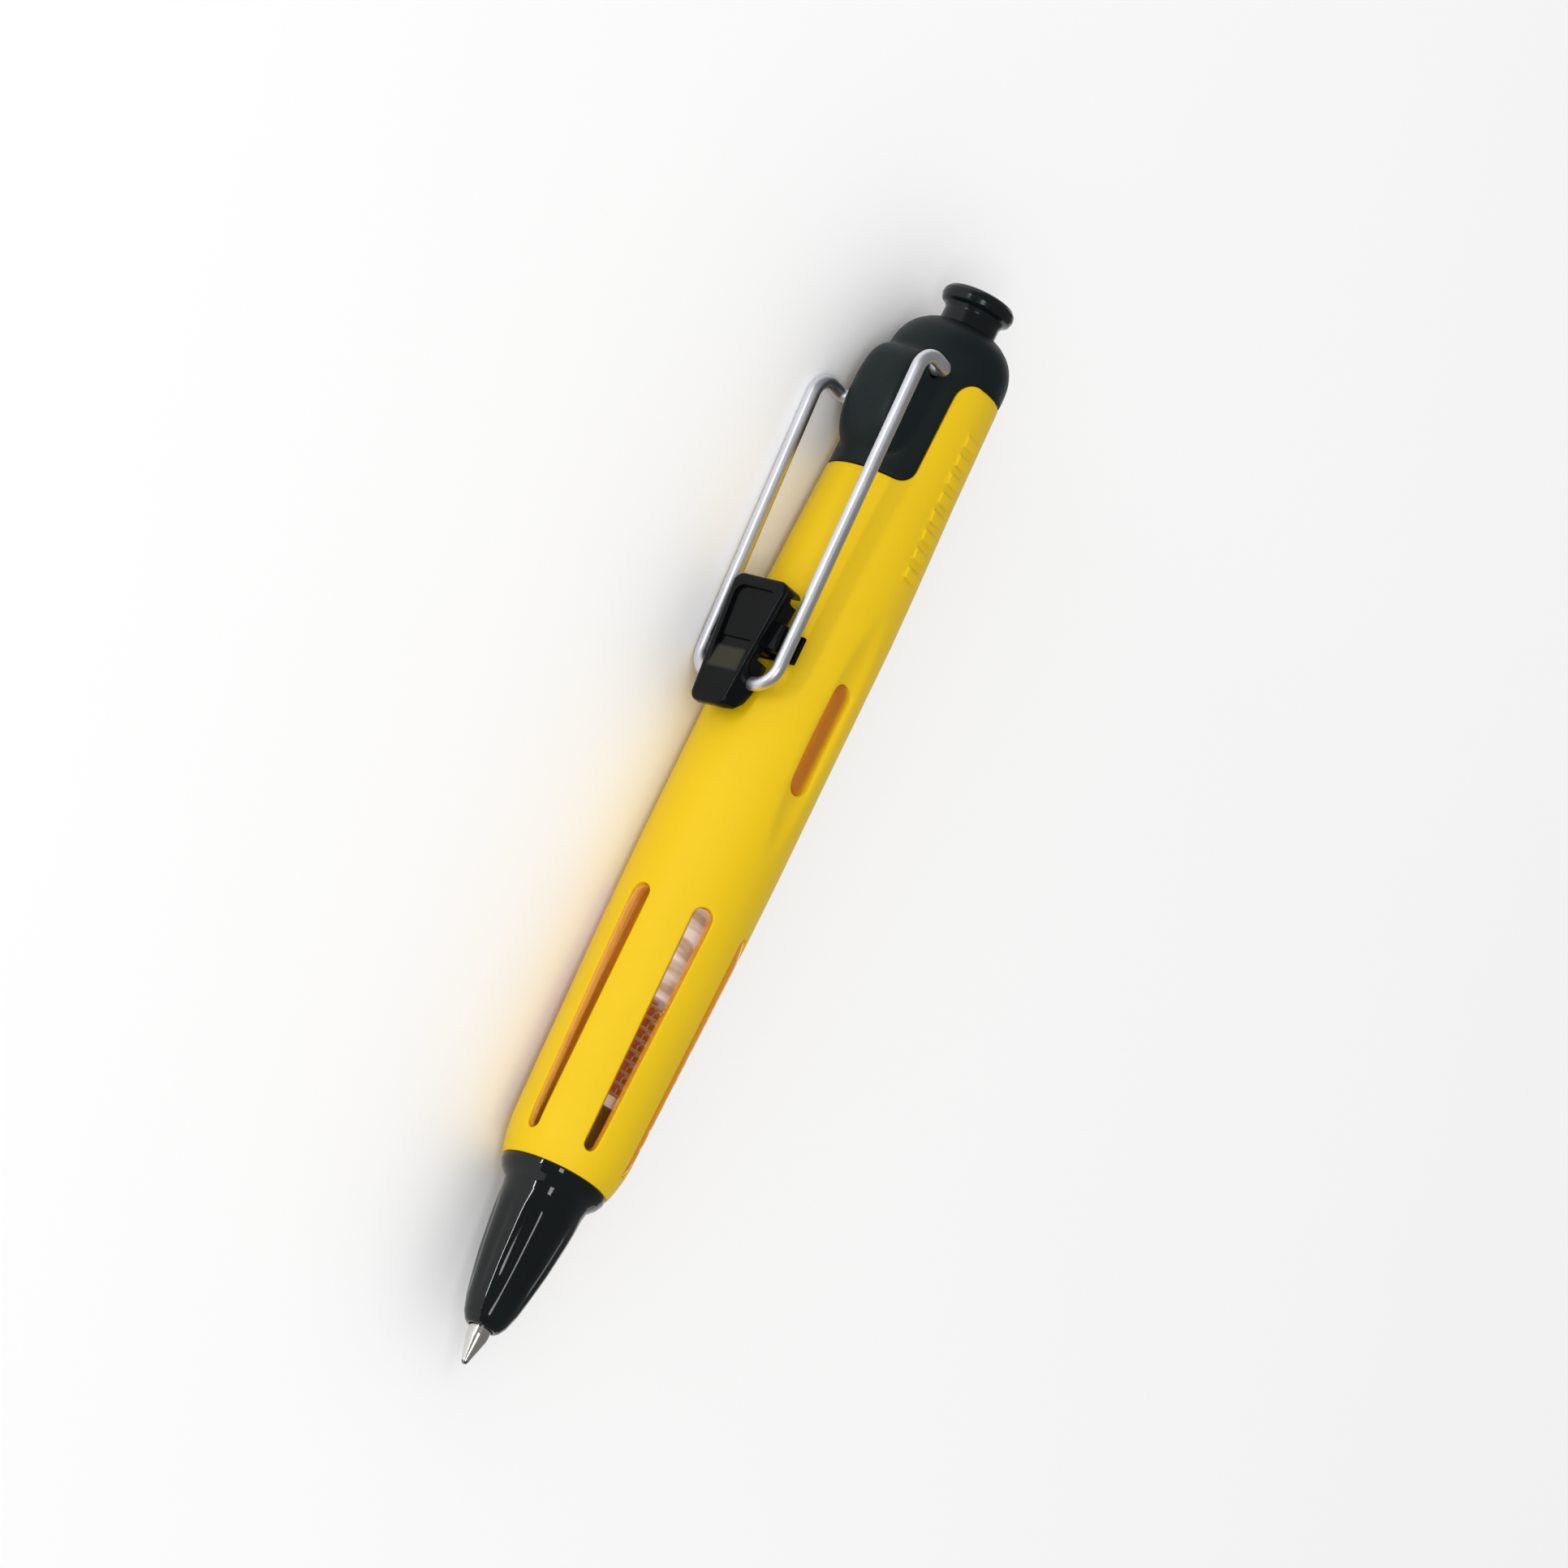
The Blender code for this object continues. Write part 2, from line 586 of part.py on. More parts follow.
def push_rod():
    """Rod from the knob down to the latch, ending in a toothed crown with guide ribs."""
    outline = [(120.8, 0.0), (120.8, 2.05), (104.6, 2.05), (103.6, ROTOR_BODY), (95.2, ROTOR_BODY), (95.2, 0.0)]
    rod = turned("push_rod", outline, INNER_STEPS, ((0.04, 0.04, 0.045), 0.35), closed=False)
    boolean(rod, toothed_end("rod_crown", 1.2, ROTOR_BODY + 0.1, 96.0, ROD_BOTTOM, CROWN_STEPS), "UNION")
    rows = [(95.7, 0.4, 1.9, RIB_RADIUS), (100.5, 0.4, 1.9, RIB_RADIUS)]
    boolean(rod, curved_blocks("rod_ribs", spread(rows, LATCH_TEETH // 2), 1), "UNION")
    return rod


def cam_guide():
    """Fixed sleeve round the latch, with ridges inside and a collar that guides the knob's stem."""
    low, high, outer, bore = GUIDE
    outline = [(high, outer), (low, outer), (low, bore), (106.9, bore), (107.0, 3.25), (high, 3.25)]
    guide = turned("cam_guide", outline, INNER_STEPS, ((0.3, 0.3, 0.3), 0.35))
    rows = [(RIDGES[0], 0.6, RIDGE_RADIUS, bore + 0.4), (RIDGES[1], 0.6, RIDGE_RADIUS, bore + 0.4)]
    return boolean(guide, curved_blocks("guide_ridges", spread(rows, LATCH_TEETH), 1), "UNION")


def knob():
    """Mushroom knob on a hollow stem."""
    top, bore = KNOB_BORE
    outline = [(PEN_LENGTH, 0.0)] + KNOB_PROFILE + [(KNOB_PROFILE[-1][0], bore), (top, bore), (top, 0.0)]
    return turned("knob", outline, OUTER_STEPS, ((0.012, 0.013, 0.014), 0.3), closed=False)


# ---------------------------------------------------------------- cap and clip

def hump_block():
    """Mounting block for the clip, lofted through rounded sections."""
    turns = [math.radians(180.0 * k / 12) for k in range(13)]
    points, faces = [], []
    for level, depth, half in HUMP:
        for t in turns:
            side = math.copysign(abs(math.cos(t)) ** HUMP_SQUARE, math.cos(t))
            points.append((half * side, -HUMP_BASE - (depth - HUMP_BASE) * math.sin(t) ** HUMP_SQUARE, level))
    width = len(turns)
    for i in range(len(HUMP) - 1):
        for j in range(width):
            a, b = i * width + j, i * width + (j + 1) % width
            faces.append((a, b, b + width, a + width))
    faces.append(tuple(range(width)))
    faces.append(tuple(range((len(HUMP) - 1) * width, len(HUMP) * width)))
    return add_mesh("hump_block", points, faces)


def cap_housing():
    """Matte cap: domed end, skirt, tongue down the clip side and the clip's mounting block."""
    outline = [(CAP_OUTER[-1][0], 0.0)] + CAP_OUTER[::-1] + [(CAP_OUTER[0][0], 0.0)]
    cap = turned("cap_housing", outline, OUTER_STEPS, ((0.02, 0.027, 0.03), 0.6), closed=False)
    tongue = tongue_rows(0.0, 4.0, 0.0, 117.0)
    boolean(cap, curved_blocks("tongue_block", [(CLIP_ANGLE, tongue)], 14), "UNION")
    boolean(cap, hump_block(), "UNION")
    bore = [(123.5, 0.0), (123.5, CAP_THROAT), (119.3, CAP_THROAT), (119.3, 4.6), (118.3, 4.6)]
    bore += [(level, radius_at(TUBE_OUTER, level) + RUN_GAP) for level in (118.29, 104.0, 101.5)]
    boolean(cap, turned("cap_bore", bore + [(101.5, 0.0)], OUTER_STEPS, closed=False), "DIFFERENCE")
    holes = (("near_hole", PIN_END - 0.15, 9.0, NEAR_PIVOT), ("far_hole", -9.0, 0.15 - PIN_END, FAR_PIVOT))
    for name, x_low, x_high, pivot in holes:
        boolean(cap, rod_along_x(name, x_low, x_high, pivot[1], pivot[2], PIN_HOLE), "DIFFERENCE")
    return cap


def clip_path():
    """Centre line of the wire: one pin, its arm and leg, the bottom loop, the other leg, arm and pin."""
    pin, top_x, top_d, low_x, low_d = PIN_END, *LEG_TOP, *LEG_BOTTOM
    hold_y, near_z, far_z = NEAR_PIVOT[1], NEAR_PIVOT[2], FAR_PIVOT[2]
    corners = [(pin, hold_y, near_z), (top_x, hold_y, near_z), (top_x, -top_d, near_z + ARM_RISE),
               (low_x, -low_d, LOOP_LEVEL), (-low_x, -low_d, LOOP_LEVEL), (-top_x, -top_d, far_z + ARM_RISE),
               (-top_x, hold_y, far_z), (-pin, hold_y, far_z)]
    return rounded_path(corners, BEND_RADII, 5)


def clip_wire():
    """One length of spring wire whose two ends sit in the cap at different heights."""
    return wire("clip_wire", clip_path(), WIRE, ((0.7, 0.71, 0.74), 0.3, 1.0))


def clamp_body():
    """The clamp's body: its side outline carried across X, wider towards the knob, with rounded edges."""
    levels = [level for level, depth in CLAMP_SIDE]
    low, high = min(levels), max(levels)
    points = []
    for sign in (-1.0, 1.0):
        for level, depth in CLAMP_SIDE:
            share = (level - low) / (high - low)
            points.append((sign * (CLAMP_HALF[0] * (1.0 - share) + CLAMP_HALF[1] * share), -depth, level))
    count = len(CLAMP_SIDE)
    faces = [tuple(range(count)), tuple(range(count, 2 * count))]
    faces += [(i, (i + 1) % count, count + (i + 1) % count, count + i) for i in range(count)]
    body = add_mesh("clip_clamp", points, faces, ((0.01, 0.011, 0.012), 0.15))
    bevel = body.modifiers.new("edges", "BEVEL")
    bevel.width = CLAMP_EDGE * MM
    bevel.segments = 1
    bevel.angle_limit = math.radians(60.0)
    return body


def clip_clamp():
    """Moulded clamp on the wire's loop: a deep tapered body, lugs towards the legs and a pad on the barrel."""
    clamp = clamp_body()
    for name, corners in CLAMP_BLOCKS.items():
        boolean(clamp, box(name, *corners), "UNION")
    hole = rod_along_x("loop_hole", -4.0, 4.0, -LEG_BOTTOM[1], LOOP_LEVEL, WIRE + 0.08)
    return boolean(clamp, hole, "DIFFERENCE")


# ---------------------------------------------------------------- placing

def set_origin(obj, point):
    """Moves an object's origin to a point of the pen's frame and leaves its shape where it is."""
    offset = Vector(point) * MM
    obj.data.transform(Matrix.Translation(-offset))
    obj.location = offset


def lay_down():
    """Turns the pen onto its side so that the cover and the lower leg of the clip both meet the floor."""
    floor = max(radius for level, radius in COVER_OUTER)
    sine, cosine = math.sin(lean()), math.cos(lean())
    turn = Matrix(((0.0, 0.0, -1.0), (-sine, cosine, 0.0), (cosine, sine, 0.0)))
    PEN.matrix_world = Matrix.Translation(Vector((PEN_LENGTH / 2.0, 0.0, floor)) * MM) @ turn.to_4x4()
    bpy.context.view_layer.update()
    shown = bpy.context.evaluated_depsgraph_get()
    sides = []
    for obj in PARTS.objects:
        if obj.type != "EMPTY":
            done = obj.evaluated_get(shown)
            mesh = done.to_mesh()
            sides += [(done.matrix_world @ v.co).y for v in mesh.vertices]
            done.to_mesh_clear()
    PEN.location.y -= (min(sides) + max(sides)) / 2.0
    bpy.context.view_layer.update()
    for name, point in (("near pivot", NEAR_PIVOT), ("far pivot", FAR_PIVOT), ("axis", (0.0, 0.0, 0.0)),
                        ("ball", (0.0, 0.0, BALL_RADIUS))):
        print(name, [round(c, 6) for c in PEN.matrix_world @ (Vector(point) * MM)])


def main():
    for make in (tip_ball, tip_cone, tip_holder, refill_tube, ink_column, ink_follower, refill_tail_plug,
                 return_spring, spring_seat, nose_cone, inner_barrel, barrel_cover, air_cylinder, pump_seals,
                 pump_spring, piston, cam_rotor, cam_guide, push_rod, knob, cap_housing, clip_wire, clip_clamp):
        make()
    set_origin(bpy.data.objects["tip_ball"], (0.0, 0.0, BALL_RADIUS))
    for name in ("clip_wire", "clip_clamp"):
        set_origin(bpy.data.objects[name], NEAR_PIVOT)
    lay_down()


main()
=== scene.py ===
"""Looks of the retractable pressurised ballpoint pen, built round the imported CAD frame.

Shapes are worked out in the pen's own frame, in millimetres: Z runs from the writing tip to the knob,
the clip is on the -Y side. PEN then puts them into the row frame, in metres, where the CAD has them.
Round the barrel, places are given as a turn from the clip's plane and a level from the tip.
"""

import json
import math

import bmesh
import bpy
import numpy as np
from mathutils import Matrix, Vector
from mathutils.geometry import delaunay_2d_cdt


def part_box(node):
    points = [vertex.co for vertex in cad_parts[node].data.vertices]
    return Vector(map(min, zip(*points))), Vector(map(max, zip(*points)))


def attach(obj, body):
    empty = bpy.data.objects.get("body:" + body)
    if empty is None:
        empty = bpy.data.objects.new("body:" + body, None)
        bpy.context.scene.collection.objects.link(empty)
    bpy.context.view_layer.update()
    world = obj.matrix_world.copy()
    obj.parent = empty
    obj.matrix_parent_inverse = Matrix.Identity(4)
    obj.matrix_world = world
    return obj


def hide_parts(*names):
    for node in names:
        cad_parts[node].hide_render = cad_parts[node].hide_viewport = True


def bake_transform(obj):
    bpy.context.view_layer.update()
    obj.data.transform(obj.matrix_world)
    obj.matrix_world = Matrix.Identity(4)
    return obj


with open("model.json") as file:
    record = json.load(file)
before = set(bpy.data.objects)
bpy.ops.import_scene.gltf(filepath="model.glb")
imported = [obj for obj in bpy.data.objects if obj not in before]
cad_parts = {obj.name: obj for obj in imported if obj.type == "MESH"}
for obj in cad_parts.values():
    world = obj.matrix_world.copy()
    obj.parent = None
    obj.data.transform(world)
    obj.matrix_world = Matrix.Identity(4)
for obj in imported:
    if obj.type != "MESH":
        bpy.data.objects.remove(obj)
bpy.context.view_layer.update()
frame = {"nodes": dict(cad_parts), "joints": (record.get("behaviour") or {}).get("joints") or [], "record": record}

MM = 0.001
SLOTS = {row["node"]: row["material_slot"] for row in frame["record"]["subparts"]}
JOINTS = {j["name"]: j for j in frame["joints"]}
TIP_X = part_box("tip_ball")[1].x
AXIS_POINT = JOINTS["rotor_turn"]["pos_m"]
SWING = JOINTS["clip_swing"]["axis"]
LEAN = math.atan2(SWING[1], -SWING[2])
TURN = Matrix(((0.0, 0.0, -1.0),
               (-math.sin(LEAN), math.cos(LEAN), 0.0),
               (math.cos(LEAN), math.sin(LEAN), 0.0)))
PEN = Matrix.Translation((TIP_X, AXIS_POINT[1], AXIS_POINT[2])) @ TURN.to_4x4() @ Matrix.Scale(MM, 4)

# barrel skins: radius at each distance from the tip, in millimetres
COVER = [(22.0, 5.9), (22.5, 6.15), (24.3, 6.55), (26.0, 6.75), (53.0, 7.37), (60.0, 7.43), (73.0, 7.38),
         (88.0, 7.38), (95.0, 7.2), (104.0, 6.87), (115.9, 6.62)]
TUBE = [(22.3, 5.25), (26.0, 5.75), (53.0, 6.35), (73.0, 6.4), (88.0, 6.33), (104.0, 5.85), (118.2, 5.58)]
TUBE_BORE = [(22.3, 4.75), (31.8, 4.75), (31.81, 4.95), (118.2, 4.95)]
COVER_SPAN = (COVER[0][0], COVER[-1][0])
TUBE_SPAN = (TUBE[0][0], TUBE[-1][0])
COVER_WALL, COVER_GAP = 0.3, 0.05
FLAT_RADIUS = 7.0
SEAM = math.radians(150.0)

# slots: (low centre, high centre, low radius, high radius) of the two round ends
GRIP_SLOT = (25.38, 51.85, 0.78, 1.15)
SIDE_SLOT = (69.85, 79.85, 1.45, 1.45)
GRIP_TURNS = [math.radians(60.0 * k) for k in (-3, -2, -1, 0, 1, 2)]
SIDE_TURNS = [math.radians(90.0), math.radians(-90.0)]
RIB_GAP = 0.06
RIB_PROUD, RIB_SUNK, RIB_END_DROP = 0.18, 0.12, 0.25
LENS = 6.58
SCOOP_CENTRE = (12.0, 75.6)
SCOOP_HALF = (5.35, 5.0, 27.0)

DASH_TURN = math.radians(100.0)
DASH_LEVELS = [95.0 + 2.2 * k for k in range(8)]
DASH_HALF, DASH_LONG, DASH_PROUD = 1.2, 0.6, 0.25

# nose and refill: outlines are (level, radius), and a third number rounds that corner
NOSE = [(4.2, 1.36), (4.2, 1.66), (4.45, 1.95, 0.3), (5.2, 2.4, 1.0), (6.9, 2.92, 3.0), (8.7, 3.27, 4.0),
        (10.4, 3.57, 4.0), (12.1, 3.85, 4.0), (13.9, 4.07, 4.0), (15.6, 4.27, 4.0), (17.3, 4.43, 4.0),
        (19.0, 4.5, 0.6), (19.9, 4.66, 0.6), (20.7, 5.42, 0.5), (21.4, 5.78, 0.4), (21.93, 5.84, 0.1),
        (21.94, 4.68, 0.1), (30.0, 4.68, 0.2), (30.0, 2.3, 0.1), (28.2, 2.3, 0.1), (28.0, 3.3, 0.1),
        (22.0, 3.3, 0.5), (9.5, 2.1, 0.5), (5.6, 1.8, 0.1), (5.5, 1.36, 0.05)]
NOSE_SKIN = [(4.5, 1.9), (19.0, 4.45)]
FLUTES = 10
FLUTE_DEPTH = 0.16
BALL = 0.35
REFILL_SHOULDER = 43.2
COIL_STEPS = 28

# cap
CAP_TOP = 122.0
TONGUE_END = 102.9
TONGUE_HALF = 6.95
TONGUE_CORNER = 1.8
SKIRT = 115.98
SKIRT_FILLET = 2.4
NOTCH_GAP, NOTCH_TOP = 0.06, 118.0
CAP_SKIN = [(102.9, 6.91), (104.0, 6.87), (115.9, 6.62), (117.3, 6.64), (118.6, 6.5), (119.6, 6.15),
            (120.5, 5.65), (121.2, 5.0), (121.65, 4.3), (121.9, 3.7), (122.0, 3.35)]
# the clip's hump: level, depth of its top from the axis, half width
HUMP = [(102.9, 5.0, 3.0), (104.3, 6.5, 3.6), (105.3, 7.5, 4.1), (106.3, 8.3, 4.4), (108.0, 9.0, 4.55),
        (110.0, 9.25, 4.6), (112.5, 9.25, 4.6), (114.5, 8.9, 4.55), (115.8, 8.3, 4.45), (116.7, 7.4, 4.2),
        (117.3, 6.3, 3.8), (118.2, 3.0, 3.2)]
HUMP_DEPTH = [(level, depth) for level, depth, _ in HUMP]
HUMP_HALF = [(level, half) for level, _, half in HUMP]
HUMP_SPAN = (HUMP[0][0], HUMP[-1][0])
HUMP_BASE = 2.15
HUMP_POWER = 3.6
HUMP_FILLET = 0.35
BORE = [(118.25, 5.2), (118.6, 3.22), (CAP_TOP, 3.22)]
KNOB = [(126.1, 0.0, 0.0), (126.1, 2.9, 0.9), (125.85, 3.62, 0.5), (125.4, 3.95, 0.35), (124.9, 4.0, 0.4),
        (124.35, 3.8, 0.35), (124.05, 3.3, 0.3), (123.6, 3.08, 0.3), (108.0, 3.08), (108.0, 2.15),
        (120.9, 2.15), (120.9, 0.0, 0.0)]

# clip
WIRE = 0.75
PIN_END = 3.15
PIN_HOLE = 0.97
PIN_DEPTH = 6.2
PIN_MOUTH, COUNTERSINK = (4.15, 4.5), 0.28
NEAR_LEVEL, FAR_LEVEL = 115.2, 109.9
LEG_TOP = (5.9, 10.6)
LEG_BOTTOM = (5.4, 8.85)
ARM_RISE = 0.5
LOOP_LEVEL = 76.2
BEND_RADII = (1.1, 1.9, 2.5, 2.5, 1.9, 1.1)
CLAMP_HALF = (2.4, 3.8)
CLAMP_SPAN = (72.4, 87.0)
CLAMP_FACE = (11.1, 11.43)
CLAMP_BACK = [(87.0, 8.3), (79.0, 8.3), (78.4, 7.7), (75.4, 7.7), (74.0, 8.1), (72.9, 9.0), (72.4, 10.2)]
CLAMP_CORNER, CLAMP_EDGE = 1.1, 0.35
PANEL = (76.4, 78.9, 85.7)
PANEL_DEPTH, PANEL_INSET = 0.4, 0.85
CLAMP_RECESS = [(78.5, 7.0), (78.5, 9.8), (79.6, 9.8), (79.6, 7.0)]
CLAMP_NOTCH = [(85.2, 7.0), (85.2, 9.4), (85.35, 9.8), (85.75, 9.95), (86.15, 9.8), (86.3, 9.4), (86.3, 7.0)]
# blocks behind the clamp's body: low corner, high corner, edge radius
CLAMP_BLOCKS = {"clamp_web": ((-1.6, -9.0, 79.9), (1.6, -7.7, 84.8), 0.2),
                "clamp_lug": ((-4.55, -10.1, 79.9), (4.55, -8.35, 83.0), 0.25),
                "clamp_pad": ((-6.1, -8.15, 79.5), (6.1, -7.6, 82.7), 0.2)}

# camera: how the pen lies in the picture
PICTURE_LEAN = math.radians(25.94)
TIP_TOWARDS = 0.236
CLIP_ROUND = math.radians(43.0)
FRAME_WIDTH = 0.1615
DISTANCE = 4.0
TIP_TO_CENTRE = (0.03302, 0.05973)

# light: each lamp's name, its turn round the pen from the eye, its size in metres, its watts, and whether
# glossy surfaces mirror it
LAMPS = [("overhead", -14.0, (2.2, 2.2), 6.8, False),
         ("key", -37.0, (0.03, 0.8), 3.4, True),
         ("fill", 8.0, (0.16, 0.5), 2.0, True)]
MATTE_SURROUND, GLOSSY_SURROUND = 0.74, 0.22
FLOOR_HALF = 3.0


def radius_at(profile, level):
    """Radius of a profile at a level or an array of levels."""
    return np.interp(level, [p[0] for p in profile], [p[1] for p in profile])


def smooth_radius(profile, level, blur=1.2):
    """The same radius with the profile's corners eased over about a millimetre."""
    level = np.asarray(level, float)
    low, high = profile[0][0], profile[-1][0]
    reach = np.minimum(blur, np.minimum(level - low, high - level).clip(0.0))
    weights = (0.1, 0.25, 0.3, 0.25, 0.1)
    return sum(w * radius_at(profile, level + reach * k / 2.0) for w, k in zip(weights, (-2, -1, 0, 1, 2)))


def clamp_half(level):
    """Half width of the clamp's body at a level."""
    return float(np.interp(level, CLAMP_SPAN, CLAMP_HALF))


def clamp_face(level):
    """Depth of the clamp's face at a level."""
    return float(np.interp(level, CLAMP_SPAN, CLAMP_FACE))


# ---- mesh building

def added(name, data):
    """A new object in the scene."""
    thing = bpy.data.objects.new(name, data)
    bpy.context.scene.collection.objects.link(thing)
    return thing


def build(name, points, faces, body="", look=None):
    """A mesh piece from points in the pen's frame. Given a body, it rides there in place of its CAD node."""
    points = np.asarray(points, float)
    matrix = np.array(PEN)
    placed = points @ matrix[:3, :3].T + matrix[:3, 3]
    mesh = bpy.data.meshes.new(name)
    mesh.from_pydata(placed.tolist(), [], faces)
    bm = bmesh.new()
    bm.from_mesh(mesh)
    bmesh.ops.remove_doubles(bm, verts=bm.verts, dist=1e-7)
    bmesh.ops.recalc_face_normals(bm, faces=bm.faces)
    bm.to_mesh(mesh)
    bm.free()
    mesh.polygons.foreach_set("use_smooth", [True] * len(mesh.polygons))
    mesh.set_sharp_from_angle(angle=math.radians(50.0))
    mesh.materials.append(look or look_of(name))
    piece = added(name, mesh)
    if body:
        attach(piece, body)
        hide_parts(name)
    return piece


def eased(corners, default=0.12, steps=5):
    """A closed outline of (level, radius) with rounded corners. A third number is that corner's radius."""
    outline = []
    count = len(corners)
    for i in range(count):
        here = np.array(corners[i][:2], float)
        radius = corners[i][2] if len(corners[i]) > 2 else default
        before = np.array(corners[i - 1][:2], float) - here
        after = np.array(corners[(i + 1) % count][:2], float) - here
        a, b = np.linalg.norm(before), np.linalg.norm(after)
        if radius <= 0 or a < 1e-6 or b < 1e-6:
            outline.append(tuple(here))
            continue
        before, after = before / a, after / b
        half = math.acos(float(np.clip(before @ after, -1, 1))) / 2.0
        if half > math.radians(88.0):
            outline.append(tuple(here))
            continue
        reach = min(radius / math.tan(half), 0.45 * a, 0.45 * b)
        radius = reach * math.tan(half)
        middle = (before + after) / np.linalg.norm(before + after)
        centre = here + middle * radius / math.sin(half)
        start = here + before * reach - centre
        end = here + after * reach - centre
        sweep = math.atan2(start[0] * end[1] - start[1] * end[0], start @ end)
        hold = min(0.06, 0.1 * min(a, b))
        outline.append(tuple(here + before * (reach + hold)))
        for k in range(steps + 1):
            t = sweep * k / steps
            turned = np.array([start[0] * math.cos(t) - start[1] * math.sin(t),
                               start[0] * math.sin(t) + start[1] * math.cos(t)])
            outline.append(tuple(centre + turned))
        outline.append(tuple(here + after * (reach + hold)))
    return outline


def lathe(outline, steps=96):
    """Points and faces of a closed outline turned about the pen's axis. Points on the axis are shared."""
    points, faces, rings = [], [], []
    for level, radius in outline:
        if abs(radius) < 1e-6:
            rings.append([len(points)] * steps)
            points.append((0.0, 0.0, level))
            continue
        ring = []
        for k in range(steps):
            angle = 2 * math.pi * k / steps
            ring.append(len(points))
            points.append((radius * math.cos(angle), radius * math.sin(angle), level))
        rings.append(ring)
    for a, b in zip(rings, rings[1:] + rings[:1]):
        if len(set(a)) == 1 and len(set(b)) == 1:
            continue
        for k in range(steps):
            corners = [a[k], a[(k + 1) % steps], b[(k + 1) % steps], b[k]]
            faces.append([c for n, c in enumerate(corners) if c not in corners[:n]])
    return points, faces


def sweep(path, radius, sides):
    """A round wire along a path, carried without twist, with domed ends."""
    path = np.array([tuple(p) for p in path], float)
    along = np.gradient(path, axis=0)
    along /= np.linalg.norm(along, axis=1)[:, None]
    side = np.cross(along[0], (0.0, 0.0, 1.0) if abs(along[0][2]) < 0.9 else (1.0, 0.0, 0.0))
    side /= np.linalg.norm(side)
    rings = []
    for point, direction in zip(path, along):
        side = side - direction * (side @ direction)
        side /= np.linalg.norm(side)
        rings.append((point, side.copy(), np.cross(direction, side), radius))
    for end, sign in ((0, -1.0), (-1, 1.0)):
        point, u, v, _ = rings[end]
        dome = []
        for t in map(math.radians, (25.0, 50.0, 75.0)):
            top = point + sign * along[end] * radius * 0.6 * math.sin(t)
            dome.append((top, u, v, radius * math.cos(t)))
        rings = dome[::-1] + rings if end == 0 else rings + dome
    points, faces = [], []
    for point, u, v, size in rings:
        for k in range(sides):
            angle = 2 * math.pi * k / sides
            points.append(point + size * (math.cos(angle) * u + math.sin(angle) * v))
    for i in range(len(rings) - 1):
        for k in range(sides):
            a, b = i * sides + k, i * sides + (k + 1) % sides
            faces.append((a, b, b + sides, a + sides))
    faces.append(tuple(range(sides)))
    faces.append(tuple(range(len(points) - sides, len(points))))
    return points, faces


def rounded_path(corners, radii, steps=10, spacing=1.5):
    """A line through corners, each inner corner rounded, with points every so often on its straights."""
    marks = [Vector(corners[0])]
    for before, corner, after, radius in zip(corners, corners[1:], corners[2:], radii):
        corner = Vector(corner)
        back = (Vector(before) - corner).normalized()
        ahead = (Vector(after) - corner).normalized()
        half = back.angle(ahead) / 2.0
        reach = radius / math.tan(half)
        centre = corner + (back + ahead).normalized() * (radius / math.sin(half))
        arm = corner + back * reach - centre
        axis = arm.cross(corner + ahead * reach - centre).normalized()
        for k in range(steps + 1):
            marks.append(centre + Matrix.Rotation((math.pi - 2.0 * half) * k / steps, 3, axis) @ arm)
    marks.append(Vector(corners[-1]))
    path = [marks[0]]
    for a, b in zip(marks, marks[1:]):
        pieces = max(1, round((b - a).length / spacing))
        path += [a.lerp(b, k / pieces) for k in range(1, pieces + 1)]
    return path


def inside(x, z, loop):
    """Whether points lie in a closed loop."""
    loop = np.asarray(loop, float)
    hit = np.zeros(len(x), bool)
    for (x0, z0), (x1, z1) in zip(loop, np.roll(loop, -1, axis=0)):
        if z0 == z1:
            continue
        crosses = (z0 > z) != (z1 > z)
        hit ^= crosses & (x < (x1 - x0) * (z - z0) / (z1 - z0) + x0)
    return hit


def distance_to(x, z, loop):
    """Distance of points from a closed loop's line."""
    loop = np.asarray(loop, float)
    best = np.full(len(x), 1e9)
    for a, b in zip(loop, np.roll(loop, -1, axis=0)):
        span = b - a
        size = max(float(span @ span), 1e-12)
        t = (((x - a[0]) * span[0] + (z - a[1]) * span[1]) / size).clip(0.0, 1.0)
        best = np.minimum(best, np.hypot(x - a[0] - t * span[0], z - a[1] - t * span[1]))
    return best


def slot_loop(slot, turn, grow=0.0, steps=12):
    """Outline of a tapered round-ended slot on the unrolled barrel, grown outwards."""
    low, high, r_low, r_high = slot
    r_low, r_high = r_low + grow, r_high + grow
    tilt = math.asin((r_low - r_high) / (high - low))
    middle = turn * FLAT_RADIUS
    loop = []
    ends = ((low, r_low, math.pi + tilt, math.pi - 2 * tilt), (high, r_high, -tilt, math.pi + 2 * tilt))
    for level, radius, start, sweep_angle in ends:
        for k in range(steps + 1):
            t = start + sweep_angle * k / steps
            loop.append((middle + radius * math.cos(t), level + radius * math.sin(t)))
    return spaced(loop, 0.7)


def spaced(loop, longest):
    """A closed loop with points added so that no edge is longer than asked."""
    out = []
    for a, b in zip(loop, loop[1:] + loop[:1]):
        dx, dz = b[0] - a[0], b[1] - a[1]
        pieces = max(1, math.ceil(math.hypot(dx, dz) / longest))
        out += [(a[0] + dx * k / pieces, a[1] + dz * k / pieces) for k in range(pieces)]
    return out


